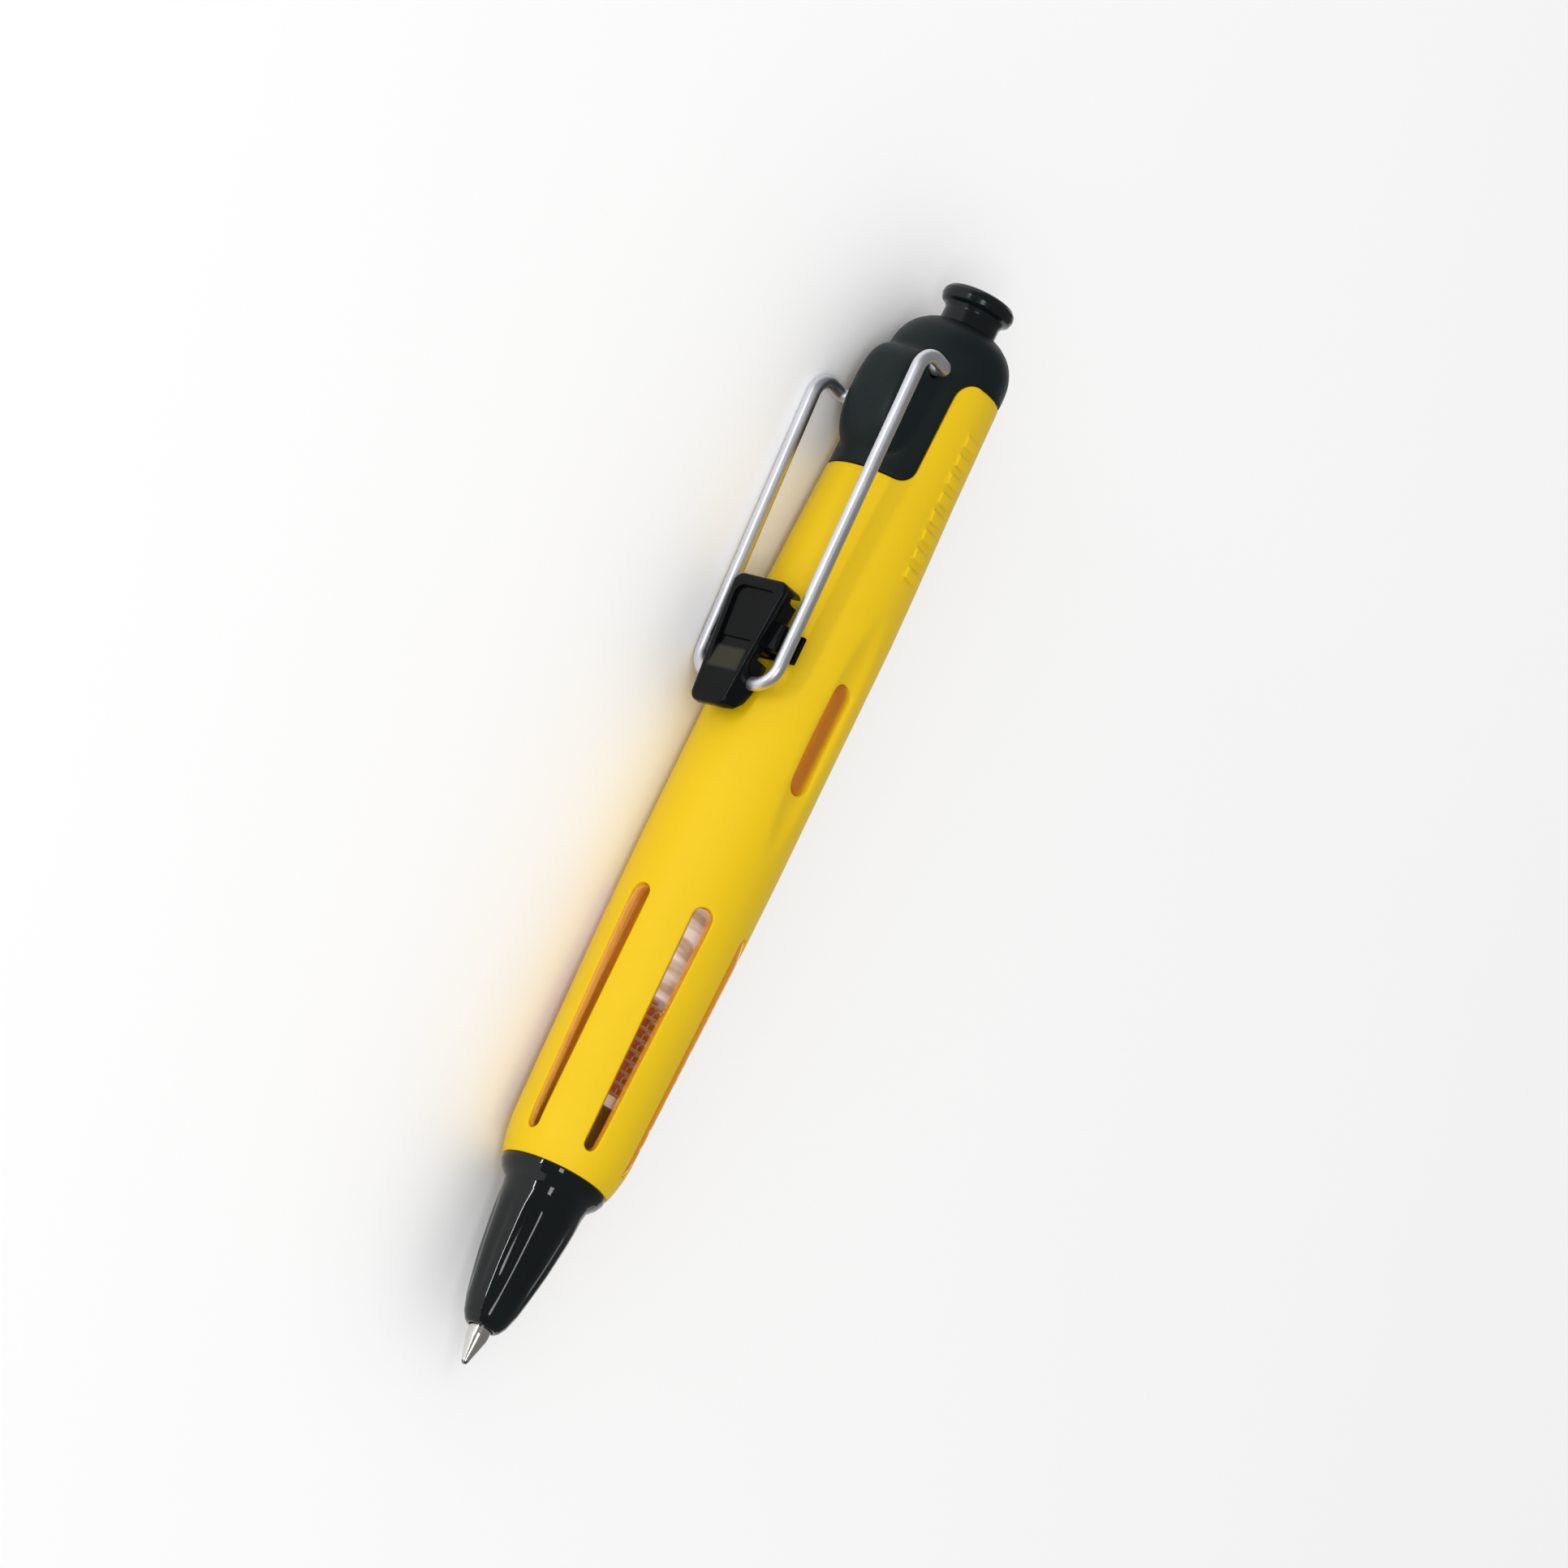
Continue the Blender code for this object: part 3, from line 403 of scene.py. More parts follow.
def slot_distance(x, z, slot, turn):
    """Signed distance from a slot's outline on the unrolled barrel, below zero inside it."""
    low, high, r_low, r_high = slot
    px = np.abs(x - turn * FLAT_RADIUS)
    pz = z - low
    span = high - low
    b = (r_low - r_high) / span
    a = math.sqrt(1 - b * b)
    k = -b * px + a * pz
    beside = a * px + b * pz - r_low
    above = np.where(k > a * span, np.hypot(px, pz - span) - r_high, beside)
    return np.where(k < 0, np.hypot(px, pz) - r_low, above)


def skin(name, outline, loops, holes, outer, inner, pitch, body=""):
    """A closed shell bent round the axis, between the radii that outer and inner give.

    Its flat pattern is the outline less the holes, meshed so that it follows every loop.
    """
    lines = [spaced(outline, pitch * 1.6)] + loops
    coords, edges = [], []
    for line in lines:
        first = len(coords)
        coords += [tuple(p) for p in line]
        edges += [(first + k, first + (k + 1) % len(line)) for k in range(len(line))]
    edge_points = np.array(outline)
    xs = np.arange(edge_points[:, 0].min() + pitch, edge_points[:, 0].max() - pitch / 2, pitch)
    zs = np.arange(edge_points[:, 1].min() + pitch, edge_points[:, 1].max() - pitch / 2, pitch)
    gx, gz = [g.ravel() for g in np.meshgrid(xs, zs)]
    gx = gx + np.where(np.round((gz - zs[0]) / pitch).astype(int) % 2, 0.25, -0.25) * pitch
    keep = inside(gx, gz, lines[0])
    gx, gz = gx[keep], gz[keep]
    lined = np.array(coords)
    near = np.full(len(gx), 1e9)
    for start in range(0, len(lined), 400):
        part = lined[start:start + 400]
        gap = np.hypot(gx[:, None] - part[None, :, 0], gz[:, None] - part[None, :, 1])
        near = np.minimum(near, gap.min(axis=1))
    gx, gz = gx[near > pitch * 0.55], gz[near > pitch * 0.55]
    coords += list(zip(gx.tolist(), gz.tolist()))
    flat, _, triangles, _, _, _ = delaunay_2d_cdt([Vector(c) for c in coords], edges, [], 0, 1e-6)
    flat = np.array([(v.x, v.y) for v in flat])
    triangles = np.array(triangles)
    middle = flat[triangles].mean(axis=1)
    wanted = inside(middle[:, 0], middle[:, 1], lines[0])
    for hole in holes:
        wanted &= ~inside(middle[:, 0], middle[:, 1], hole)
    triangles = triangles[wanted]
    used, triangles = np.unique(triangles, return_inverse=True)
    flat, triangles = flat[used], triangles.reshape(-1, 3)

    x, z = flat[:, 0], flat[:, 1]
    turn = x / FLAT_RADIUS - math.pi / 2.0
    shells = []
    for radius in (outer(x, z), inner(x, z)):
        shells.append(np.column_stack((radius * np.cos(turn), radius * np.sin(turn), z)))
    count = len(flat)
    faces = [tuple(t) for t in triangles.tolist()]
    faces += [tuple(count + i for i in reversed(t)) for t in triangles.tolist()]
    sides = dict.fromkeys((t[k], t[(k + 1) % 3]) for t in triangles.tolist() for k in range(3))
    seam_low, seam_high = edge_points[:, 0].min(), edge_points[:, 0].max()
    full = abs((seam_high - seam_low) / FLAT_RADIUS - 2 * math.pi) < 1e-6
    for a, b in sides:
        if (b, a) in sides:
            continue
        on_seam = full and any(abs(x[a] - s) < 1e-6 and abs(x[b] - s) < 1e-6 for s in (seam_low, seam_high))
        if not on_seam:
            faces.append((b, a, count + a, count + b))
    return build(name, np.vstack(shells), faces, body)


def lip(distance, radius):
    """Drop of a rounded edge at a distance from it."""
    d = np.asarray(distance).clip(0.0, radius)
    return radius - np.sqrt((radius ** 2 - (radius - d) ** 2).clip(0.0))


def box_outline(low, high):
    """The unrolled barrel between two levels, cut open at the seam."""
    left, right = (SEAM - 2 * math.pi) * FLAT_RADIUS, SEAM * FLAT_RADIUS
    return [(left, low), (right, low), (right, high), (left, high)]


# ---- materials

class Nodes:
    """Short hand for adding shader nodes to a material."""

    def __init__(self, name):
        self.material = bpy.data.materials.new(name)
        self.material.use_nodes = True
        self.tree = self.material.node_tree
        self.shader = self.tree.nodes["Principled BSDF"]
        self.place = self.tree.nodes.new("ShaderNodeTexCoord").outputs["Object"]

    def noise(self, size, detail=2.0, rough=0.5, stretch=None):
        """Noise whose features are about that many millimetres across."""
        place = self.place
        if stretch:
            mapping = self.tree.nodes.new("ShaderNodeMapping")
            mapping.inputs["Scale"].default_value = stretch
            self.tree.links.new(place, mapping.inputs["Vector"])
            place = mapping.outputs["Vector"]
        node = self.tree.nodes.new("ShaderNodeTexNoise")
        node.inputs["Scale"].default_value = 1.0 / (size * MM)
        node.inputs["Detail"].default_value = detail
        node.inputs["Roughness"].default_value = rough
        self.tree.links.new(place, node.inputs["Vector"])
        return node.outputs["Fac"]

    def spread(self, value, low, high, start=0.3, end=0.7):
        """Maps the middle of a noise onto a range."""
        node = self.tree.nodes.new("ShaderNodeMapRange")
        for name, number in (("From Min", start), ("From Max", end), ("To Min", low), ("To Max", high)):
            node.inputs[name].default_value = number
        self.tree.links.new(value, node.inputs["Value"])
        return node.outputs["Result"]

    def parts(self):
        """X, Y and Z of the place."""
        node = self.tree.nodes.new("ShaderNodeSeparateXYZ")
        self.tree.links.new(self.place, node.inputs["Vector"])
        return node.outputs

    def product(self, first, second):
        """Two masks multiplied."""
        node = self.tree.nodes.new("ShaderNodeMath")
        node.operation = "MULTIPLY"
        for socket, value in zip(node.inputs, (first, second)):
            self.tree.links.new(value, socket)
        return node.outputs["Value"]

    def mix(self, share, first, second):
        """Mixes two colours."""
        node = self.tree.nodes.new("ShaderNodeMix")
        node.data_type = "RGBA"
        self.tree.links.new(share, node.inputs["Factor"])
        for socket, colour in ((node.inputs["A"], first), (node.inputs["B"], second)):
            if isinstance(colour, tuple):
                socket.default_value = (*colour, 1.0)
            else:
                self.tree.links.new(colour, socket)
        return node.outputs["Result"]

    def set(self, **sockets):
        """Sets or links the shader's sockets, named with underlines for spaces."""
        for name, value in sockets.items():
            target = self.shader.inputs[name.replace("_", " ")]
            if hasattr(value, "node"):
                self.tree.links.new(value, target)
            else:
                target.default_value = (*value, 1.0) if target.type == "RGBA" else value

    def bump(self, height, depth):
        """Adds relief of that many millimetres."""
        node = self.tree.nodes.new("ShaderNodeBump")
        node.inputs["Distance"].default_value = depth * MM
        self.tree.links.new(height, node.inputs["Height"])
        before = self.shader.inputs["Normal"]
        if before.is_linked:
            self.tree.links.new(before.links[0].from_socket, node.inputs["Normal"])
        self.tree.links.new(node.outputs["Normal"], before)


def moulded(name, colour, shade, rough, grain, depth, patch=9.0, unevenness=0.06, **sockets):
    """Moulded plastic or rubber: two close tones in soft patches, fine grain, and uneven gloss."""
    look = Nodes(name)
    tone = look.mix(look.spread(look.noise(patch, 3.0), 0.0, 1.0), colour, shade)
    worn = look.noise(patch * 0.35, 4.0, 0.65)
    gloss = look.spread(worn, max(0.02, rough - unevenness), rough + unevenness)
    look.set(Base_Color=tone, Roughness=gloss, **sockets)
    look.bump(look.noise(patch * 1.6, 1.0), 0.03)
    look.bump(look.noise(grain, 3.0, 0.6), depth)
    return look.material


def yellow_skin():
    """Soft yellow elastomer with a faint sheen and a very fine grain."""
    return moulded("yellow_skin", (0.70, 0.466, 0.0025), (0.68, 0.448, 0.002), 0.5, 0.16, 0.006, patch=14.0,
                   Specular_IOR_Level=0.2, Subsurface_Weight=0.1, Subsurface_Radius=(0.9, 0.5, 0.05),
                   Subsurface_Scale=0.0012)


def amber_clear():
    """Clear amber plastic with faint flow marks, deeper in colour where it is seen along its face, and a faint
    painted glow in its own colour.
    """
    look = Nodes("amber_clear")
    amber = (0.84, 0.31, 0.02)
    flow = look.spread(look.noise(6.0), 0.0, 1.0)
    edge = look.tree.nodes.new("ShaderNodeLayerWeight")
    edge.inputs["Blend"].default_value = 0.5
    # The emission is painted light: a faint amber glow that stands in for light reaching the inside of the barrel.
    look.set(Base_Color=look.mix(flow, amber, (0.76, 0.26, 0.015)),
             Roughness=look.spread(look.noise(2.5, 3.0), 0.03, 0.08),
             Alpha=look.spread(edge.outputs["Facing"], 0.04, 0.8, 0.12, 0.7),
             Emission_Color=amber, Emission_Strength=0.12, IOR=1.6, Specular_IOR_Level=0.8,
             Coat_Weight=1.0, Coat_Roughness=0.03)
    look.bump(look.noise(5.0, 1.0), 0.03)
    return look.material


def refill_clear():
    """Milky refill plastic, banded by the ink behind it, and dark red in front of its shoulder, with a faint
    painted glow in those colours.
    """
    look = Nodes("refill_clear")
    bands = look.noise(1.6, 2.0, 0.5, (1.0, 0.15, 0.15))
    milky = look.mix(look.spread(bands, 0.0, 1.0, 0.4, 0.6), (0.92, 0.90, 0.87), (0.50, 0.40, 0.30))
    shoulder, fade = TIP_X - REFILL_SHOULDER * MM, 0.0002
    front = look.spread(look.parts()["X"], 0.0, 1.0, shoulder - fade, shoulder + fade)
    colour = look.mix(front, milky, (0.25, 0.022, 0.016))
    # The emission is painted light: a faint glow in the tube's own colours that stands in for light reaching the
    # inside of the barrel.
    look.set(Base_Color=colour, Emission_Color=colour, Emission_Strength=0.3, IOR=1.45,
             Roughness=look.spread(look.noise(2.0, 3.0), 0.14, 0.26))
    look.bump(look.noise(1.2, 2.0), 0.01)
    return look.material


def metal(name, colour, shade, rough, grain, depth, stretch=None, unevenness=0.05):
    """Metal whose fine marks can run along one direction."""
    look = Nodes(name)
    tone = look.mix(look.spread(look.noise(4.0, 3.0), 0.0, 1.0), colour, shade)
    marks = look.noise(1.1, 4.0, 0.6, stretch)
    gloss = look.spread(marks, rough - unevenness, rough + unevenness)
    look.set(Base_Color=tone, Roughness=gloss, Metallic=1.0)
    look.bump(look.noise(grain, 3.0, 0.6, stretch), depth)
    return look.material


def clamp_black():
    """Polished black plastic, with a pale olive painted reflection on the slope below the sunk panel."""
    look = Nodes("clamp_plastic")
    patches = look.spread(look.noise(9.0, 3.0), 0.0, 1.0)
    black = look.mix(patches, (0.002, 0.0025, 0.003), (0.0035, 0.004, 0.0045))
    parts = look.parts()
    narrow, wide = 0.0002, 0.0003
    middle = PEN @ Vector((0, -10.3, PANEL[0]))
    reach = (clamp_half(PANEL[0]) - PANEL_INSET) * MM
    # This mask places a painted reflection, a pale olive patch, on the slope between the panel's lower edge and
    # its floor.
    painted_reflection = look.spread(parts["Y"], 1.0, 0.0, middle.y - wide, middle.y)
    for sign in (-1.0, 1.0):
        edge = middle.z + sign * reach
        painted_reflection = look.product(painted_reflection, look.spread(parts["Z"], 1.0, 0.0, edge, edge + sign * wide))
    for level, start, end in ((PANEL[1], 0.0, 1.0), (PANEL[0], 1.0, 0.0)):
        edge = TIP_X - level * MM
        painted_reflection = look.product(painted_reflection, look.spread(parts["X"], start, end, edge - narrow, edge + narrow))
    look.set(Base_Color=look.mix(painted_reflection, black, (0.03, 0.03, 0.02)), Specular_IOR_Level=0.14,
             Roughness=look.spread(look.noise(3.0, 4.0, 0.65), 0.06, 0.12))
    look.bump(look.noise(14.0, 1.0), 0.03)
    look.bump(look.noise(0.7, 3.0, 0.6), 0.002)
    return look.material


# metals: colour, darker tone, roughness, grain in millimetres, its relief, and the stretch of the marks
METALS = {
    "clip_steel": ((0.80, 0.81, 0.85), (0.74, 0.75, 0.80), 0.42, 0.22, 0.003, (0.35, 1.0, 1.0)),
    "spring_steel": ((0.98, 0.97, 0.95), (0.90, 0.89, 0.87), 0.4, 0.2, 0.002),
    "tip_metal": ((0.74, 0.72, 0.68), (0.66, 0.64, 0.60), 0.2, 0.12, 0.002, (4.0, 0.3, 0.3)),
    "ball_metal": ((0.22, 0.22, 0.28), (0.10, 0.10, 0.16), 0.16, 0.1, 0.001),
}
# plastics and rubbers: colour, second tone, roughness, grain in millimetres and its relief
PLASTICS = {
    "nose_plastic": ((0.002, 0.0035, 0.004), (0.003, 0.005, 0.0055), 0.06, 0.6, 0.002),
    "knob_plastic": ((0.003, 0.005, 0.0055), (0.005, 0.007, 0.008), 0.2, 0.5, 0.002),
    "cap_plastic": ((0.004, 0.008, 0.009), (0.006, 0.011, 0.012), 0.45, 0.14, 0.012),
    "grease": ((0.85, 0.78, 0.52), (0.75, 0.66, 0.40), 0.25, 0.5, 0.006),
    "holder_plastic": ((0.16, 0.03, 0.018), (0.22, 0.045, 0.025), 0.3, 0.4, 0.003),
    "ink": ((0.09, 0.016, 0.012), (0.05, 0.012, 0.014), 0.18, 0.5, 0.004),
    "tail_plastic": ((0.80, 0.79, 0.76), (0.72, 0.71, 0.68), 0.4, 0.3, 0.004),
    "seat_plastic": ((0.80, 0.72, 0.60), (0.70, 0.62, 0.50), 0.4, 0.3, 0.004),
    "cylinder_plastic": ((0.78, 0.34, 0.05), (0.66, 0.27, 0.035), 0.35, 0.3, 0.004),
    "seal_rubber": ((0.02, 0.02, 0.02), (0.03, 0.03, 0.03), 0.6, 0.12, 0.006),
    "piston_plastic": ((0.42, 0.42, 0.42), (0.36, 0.36, 0.36), 0.4, 0.25, 0.004),
    "latch_plastic": ((0.045, 0.045, 0.05), (0.06, 0.06, 0.065), 0.38, 0.25, 0.005),
    "guide_plastic": ((0.17, 0.17, 0.17), (0.21, 0.21, 0.21), 0.42, 0.25, 0.005),
}
# what some of them need besides
EXTRAS = {
    "nose_plastic": {"unevenness": 0.02, "Specular_IOR_Level": 0.38},
    "knob_plastic": {"unevenness": 0.05, "Specular_IOR_Level": 0.3},
    "cap_plastic": {"Specular_IOR_Level": 0.18},
    "grease": {"Transmission_Weight": 0.3},
}
LOOKS = {
    "yellow_skin": yellow_skin(),
    "amber_clear": amber_clear(),
    "refill_clear": refill_clear(),
    "clamp_plastic": clamp_black(),
    **{name: metal(name, *row) for name, row in METALS.items()},
    **{name: moulded(name, *row, **EXTRAS.get(name, {})) for name, row in PLASTICS.items()},
}


def look_of(node):
    """The material of a CAD node's slot."""
    return LOOKS[SLOTS[node]]


# ---- barrel

def scoop_radius(x, z):
    """Radius of the thumb scoops' surface, or far out where there is none."""
    reach, long_half = SCOOP_CENTRE
    radial, across, along = SCOOP_HALF
    out = np.full(len(x), 99.0)
    for turn in SIDE_TURNS:
        off = x / FLAT_RADIUS - turn
        a = np.cos(off) ** 2 / radial ** 2 + np.sin(off) ** 2 / across ** 2
        b = -2.0 * reach * np.cos(off) / radial ** 2
        c = reach ** 2 / radial ** 2 + (z - long_half) ** 2 / along ** 2 - 1.0
        under = b * b - 4 * a * c
        near = (-b - np.sqrt(under.clip(0.0))) / (2 * a)
        out = np.where((under > 0) & (near > 0) & (near < 10.0), np.minimum(out, near), out)
    return out


def soft_min(a, b, width):
    """The lesser of two surfaces with their crease eased."""
    h = (0.5 + 0.5 * (b - a) / width).clip(0.0, 1.0)
    return b * (1 - h) + a * h - width * h * (1 - h)


def soft_max(a, b, width):
    """The greater of two surfaces with a fillet between them."""
    return -soft_min(-a, -b, width)


def skin_level(x, z):
    """Radius of the cover before its windows are cut."""
    return soft_min(smooth_radius(COVER, z), scoop_radius(x, z), 0.22)


def all_slots():
    """Every window with its turn round the barrel."""
    return [(GRIP_SLOT, turn) for turn in GRIP_TURNS] + [(SIDE_SLOT, turn) for turn in SIDE_TURNS]


def tongue_side(grow, sign):
    """One side of the cap's tongue on the unrolled barrel, from its lower middle up to the skirt."""
    low, corner, half = TONGUE_END - grow, TONGUE_CORNER + grow, TONGUE_HALF + grow
    line = []
    for k in range(9):
        t = math.pi / 2 * k / 8
        line.append((half - corner * (1 - math.sin(t)), low + corner * (1 - math.cos(t))))
    line += [(half, level) for level in np.arange(low + corner + 0.5, SKIRT - SKIRT_FILLET - 0.2, 0.5)]
    for k in range(10):
        t = math.pi / 2 * k / 9
        line.append((half + SKIRT_FILLET * (1 - math.cos(t)),
                     SKIRT - grow - SKIRT_FILLET * (1 - math.sin(t))))
    return [(sign * w / float(radius_at(COVER, z)) * FLAT_RADIUS, z) for w, z in line]


def tongue_loop(grow, top):
    """The whole tongue as a closed loop that runs up past the cover's end."""
    right = tongue_side(grow, 1.0)
    left = tongue_side(grow, -1.0)
    return spaced(right + [(right[-1][0], top), (left[-1][0], top)] + left[::-1], 0.6)


def dash_loop(level, grow):
    """Outline of a raised dash with round corners."""
    middle, corner = DASH_TURN * FLAT_RADIUS, 0.2 + grow
    half, long_half = DASH_HALF + grow, DASH_LONG + grow
    loop = []
    for quarter, (sx, sz) in enumerate(((1, 1), (-1, 1), (-1, -1), (1, -1))):
        for k in range(4):
            t = math.pi / 2 * (quarter + k / 3.0)
            loop.append((middle + sx * (half - corner) + corner * math.cos(t),
                         level + sz * (long_half - corner) + corner * math.sin(t)))
    return loop


def dash_height(x, z):
    """How far the dashes stand above the skin."""
    rise = np.zeros(len(x))
    for level in DASH_LEVELS:
        gap = np.maximum(np.abs(x - DASH_TURN * FLAT_RADIUS) - DASH_HALF, np.abs(z - level) - DASH_LONG)
        rise = np.maximum(rise, DASH_PROUD * (0.5 - gap / 0.16).clip(0.0, 1.0))
    return rise


def barrel_cover():
    """Yellow skin with its windows, thumb scoops, raised dashes and the notch for the cap's tongue."""
    notch = tongue_loop(NOTCH_GAP, NOTCH_TOP)
    holes = [slot_loop(slot, turn) for slot, turn in all_slots()] + [notch]
    loops = list(holes)
    for slot, turn in all_slots():
        loops += [slot_loop(slot, turn, grow) for grow in (0.05, 0.12, 0.24)]
    loops += [tongue_loop(grow, NOTCH_TOP) for grow in (0.1, 0.16, 0.26)]
    for level in DASH_LEVELS:
        loops += [dash_loop(level, -0.08), dash_loop(level, 0.08)]

    def outer(x, z):
        radius = skin_level(x, z) + dash_height(x, z)
        edge = distance_to(x, z, notch)
        for slot, turn in all_slots():
            edge = np.minimum(edge, slot_distance(x, z, slot, turn).clip(0.0))
        edge = np.minimum(edge, COVER_SPAN[1] - z)
        return radius - lip(edge, 0.2) * 0.8

    def inner(x, z):
        round_tube = smooth_radius(TUBE, z.clip(TUBE_SPAN[0])) + COVER_GAP
        return np.minimum(round_tube, skin_level(x, z) - COVER_WALL)

    return skin("barrel_cover", box_outline(*COVER_SPAN), loops, holes, outer, inner, 0.42, "barrel")


def inner_barrel():
    """Clear tube with ribs and lenses that fill the cover's windows."""
    loops = []
    for slot, turn in all_slots():
        loops += [slot_loop(slot, turn, -grow) for grow in (RIB_GAP, 0.10, 0.2, 0.4)]

    def outer(x, z):
        tube = smooth_radius(TUBE, z)
        radius = tube
        for slot, turn in all_slots():
            depth = -slot_distance(x, z, slot, turn) - RIB_GAP
            wall = (depth / 0.04).clip(0.0, 1.0)
            if slot is GRIP_SLOT:
                swell = 1 - (1 - (depth / 0.7).clip(0, 1)) ** 2
                crown = smooth_radius(COVER, z) - RIB_SUNK + (RIB_PROUD + RIB_SUNK) * swell
                start, end = (z - slot[0] + 0.3) / 2.0, (slot[1] + 0.3 - z) / 2.0
                crown = crown - (1 - start.clip(0.0, 1.0) * end.clip(0.0, 1.0)) * RIB_END_DROP
            else:
                crown = LENS - lip(depth.clip(0.0), 0.2)
            radius = np.where(depth > 0, tube + (crown - tube) * wall, radius)
        return radius

    def inner(x, z):
        return radius_at(TUBE_BORE, z)

    return skin("inner_barrel", box_outline(*TUBE_SPAN), loops, [], outer, inner, 0.5, "barrel")


def nose_cone():
    """Glossy nose with shallow flutes, a collar and a spigot inside the clear tube."""
    points, faces = lathe(spaced(eased(NOSE), 0.5), 192)
    points = np.array(points)
    radius = np.hypot(points[:, 0], points[:, 1])
    angle = np.arctan2(points[:, 1], points[:, 0])
    level = points[:, 2]
    outside = (radius > radius_at(NOSE_SKIN, level) - 0.3) & (level < NOSE_SKIN[1][0])
    fade = ((level - 6.0) / 4.0).clip(0, 1) * ((18.6 - level) / 2.5).clip(0, 1)
    flute = FLUTE_DEPTH * fade * (0.5 + 0.5 * np.cos(FLUTES * (angle + math.pi / 2.0))) ** 2
    scale = np.where(outside, 1.0 - flute / np.maximum(radius, 0.1), 1.0)
    points[:, :2] *= scale[:, None]
    return build("nose_cone", points, faces, "barrel")


# ---- cap

def hump_radius(x, z):
    """Radius at which a ray from the axis leaves the clip's mounting hump."""
    turn = x / FLAT_RADIUS
    low_end, high_end = HUMP_SPAN
    depth = smooth_radius(HUMP_DEPTH, z.clip(low_end, high_end), 0.9) - HUMP_BASE
    half = smooth_radius(HUMP_HALF, z.clip(low_end, high_end), 0.9)
    low, high = np.full(len(x), 0.5), np.full(len(x), 14.0)
    for _ in range(40):
        middle = (low + high) / 2
        across = np.abs(middle * np.sin(turn) / half) ** HUMP_POWER
        out = ((middle * np.cos(turn) - HUMP_BASE).clip(0.0) / depth.clip(0.05)) ** HUMP_POWER
        within = across + out < 1.0
        low, high = np.where(within, middle, low), np.where(within, high, middle)
    return np.where((np.cos(turn) > 0.15) & (z > low_end) & (z < high_end), low, 0.5)


def cap_housing():
    """Matte cap: dome, skirt, tongue and the hump that carries the clip."""
    low_left, *rest = box_outline(SKIRT, CAP_TOP)
    outline = tongue_side(0.0, -1.0)[::-1] + tongue_side(0.0, 1.0) + rest + [low_left]

    def shrunk(by):
        return spaced(tongue_side(-by, -1.0)[::-1] + tongue_side(-by, 1.0), 0.6)

    def outer(x, z):
        base = smooth_radius(CAP_SKIN, z, 0.8)
        radius = soft_max(base, hump_radius(x, z), HUMP_FILLET)
        edge = distance_to(x, z, np.array(outline))
        edge = np.where((np.abs(x) > 12.0) & (z > 118.0), 9.0, edge)
        edge = np.where(z > SKIRT + 1.0, 9.0, edge)
        return radius - lip(edge, 0.25) * 0.8

    def inner(x, z):
        round_tube = radius_at(TUBE, z.clip(*TUBE_SPAN)) + COVER_GAP
        return np.where(z < BORE[0][0], round_tube, radius_at(BORE, z))

    cap = skin("cap_housing", outline, [shrunk(0.06), shrunk(0.14), shrunk(0.26)], [], outer, inner, 0.3)
    for x_low, x_high, level in ((PIN_END - 0.15, 9.0, NEAR_LEVEL), (-9.0, 0.15 - PIN_END, FAR_LEVEL)):
        pin_hole(cap, x_low, x_high, level)
    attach(cap, "barrel")
    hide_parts("cap_housing")
    return cap


def pin_hole(piece, x_low, x_high, level):
    """Drills a hole for one end of the clip wire, with a small countersink."""
    deep, mouth = (x_low, x_high) if x_high > 0 else (x_high, x_low)
    sign = math.copysign(1.0, mouth)
    narrow, wide = (sign * depth for depth in PIN_MOUTH)
    profile = [(deep, 0.0), (deep, PIN_HOLE), (narrow, PIN_HOLE), (wide, PIN_HOLE + COUNTERSINK),
               (mouth, 2.0), (mouth, 0.0)]
    points, faces = lathe(profile, 40)
    moved = [(z, y - PIN_DEPTH, x + level) for x, y, z in points]
    tool = build("pin_tool", moved, faces, look=LOOKS["cap_plastic"])
    cut = piece.modifiers.new("pin", "BOOLEAN")
    cut.operation, cut.solver, cut.object = "DIFFERENCE", "EXACT", tool
    apply_modifiers(piece)
    bpy.data.objects.remove(tool, do_unlink=True)


def apply_modifiers(piece):
    """Keeps the evaluated mesh and drops the modifiers."""
    shown = bpy.context.evaluated_depsgraph_get()
    done = bpy.data.meshes.new_from_object(piece.evaluated_get(shown))
    piece.modifiers.clear()
    piece.data = done


def knob():
    """Mushroom knob on a hollow stem."""
    points, faces = lathe(eased(KNOB))
    return build("knob", points, faces, "knob_unit")


# ---- clip

def clip_wire():
    """One length of spring wire: pin, arm, leg, loop, leg, arm, pin."""
    top_x, top_d = LEG_TOP
    low_x, low_d = LEG_BOTTOM
    corners = []
    for side, level in ((1, NEAR_LEVEL), (-1, FAR_LEVEL)):
        leg = [(side * PIN_END, -PIN_DEPTH, level), (side * top_x, -PIN_DEPTH, level),
               (side * top_x, -top_d, level + ARM_RISE), (side * low_x, -low_d, LOOP_LEVEL)]
        corners += leg[::side]
    points, faces = sweep(rounded_path(corners, BEND_RADII), WIRE, 28)
    return build("clip_wire", points, faces, "clip")


def prism(name, outline, ends, edge=0.0):
    """A solid between two copies of an outline. ends are two functions from it to the pen's frame."""
    count = len(outline)
    points = [place(u, v) for place in ends for u, v in outline]
    faces = [tuple(range(count)), tuple(range(count, 2 * count))]
    faces += [(i, (i + 1) % count, count + (i + 1) % count, count + i) for i in range(count)]
    solid = build(name, points, faces, look=LOOKS["clamp_plastic"])
    if edge:
        round_edges(solid, edge)
    return solid


def across(reach):
    """Ends for a side outline of (level, depth) that is carried across the pen by that much each way."""
    return [lambda level, depth, x=x: (x, -depth, level) for x in (-reach, reach)]


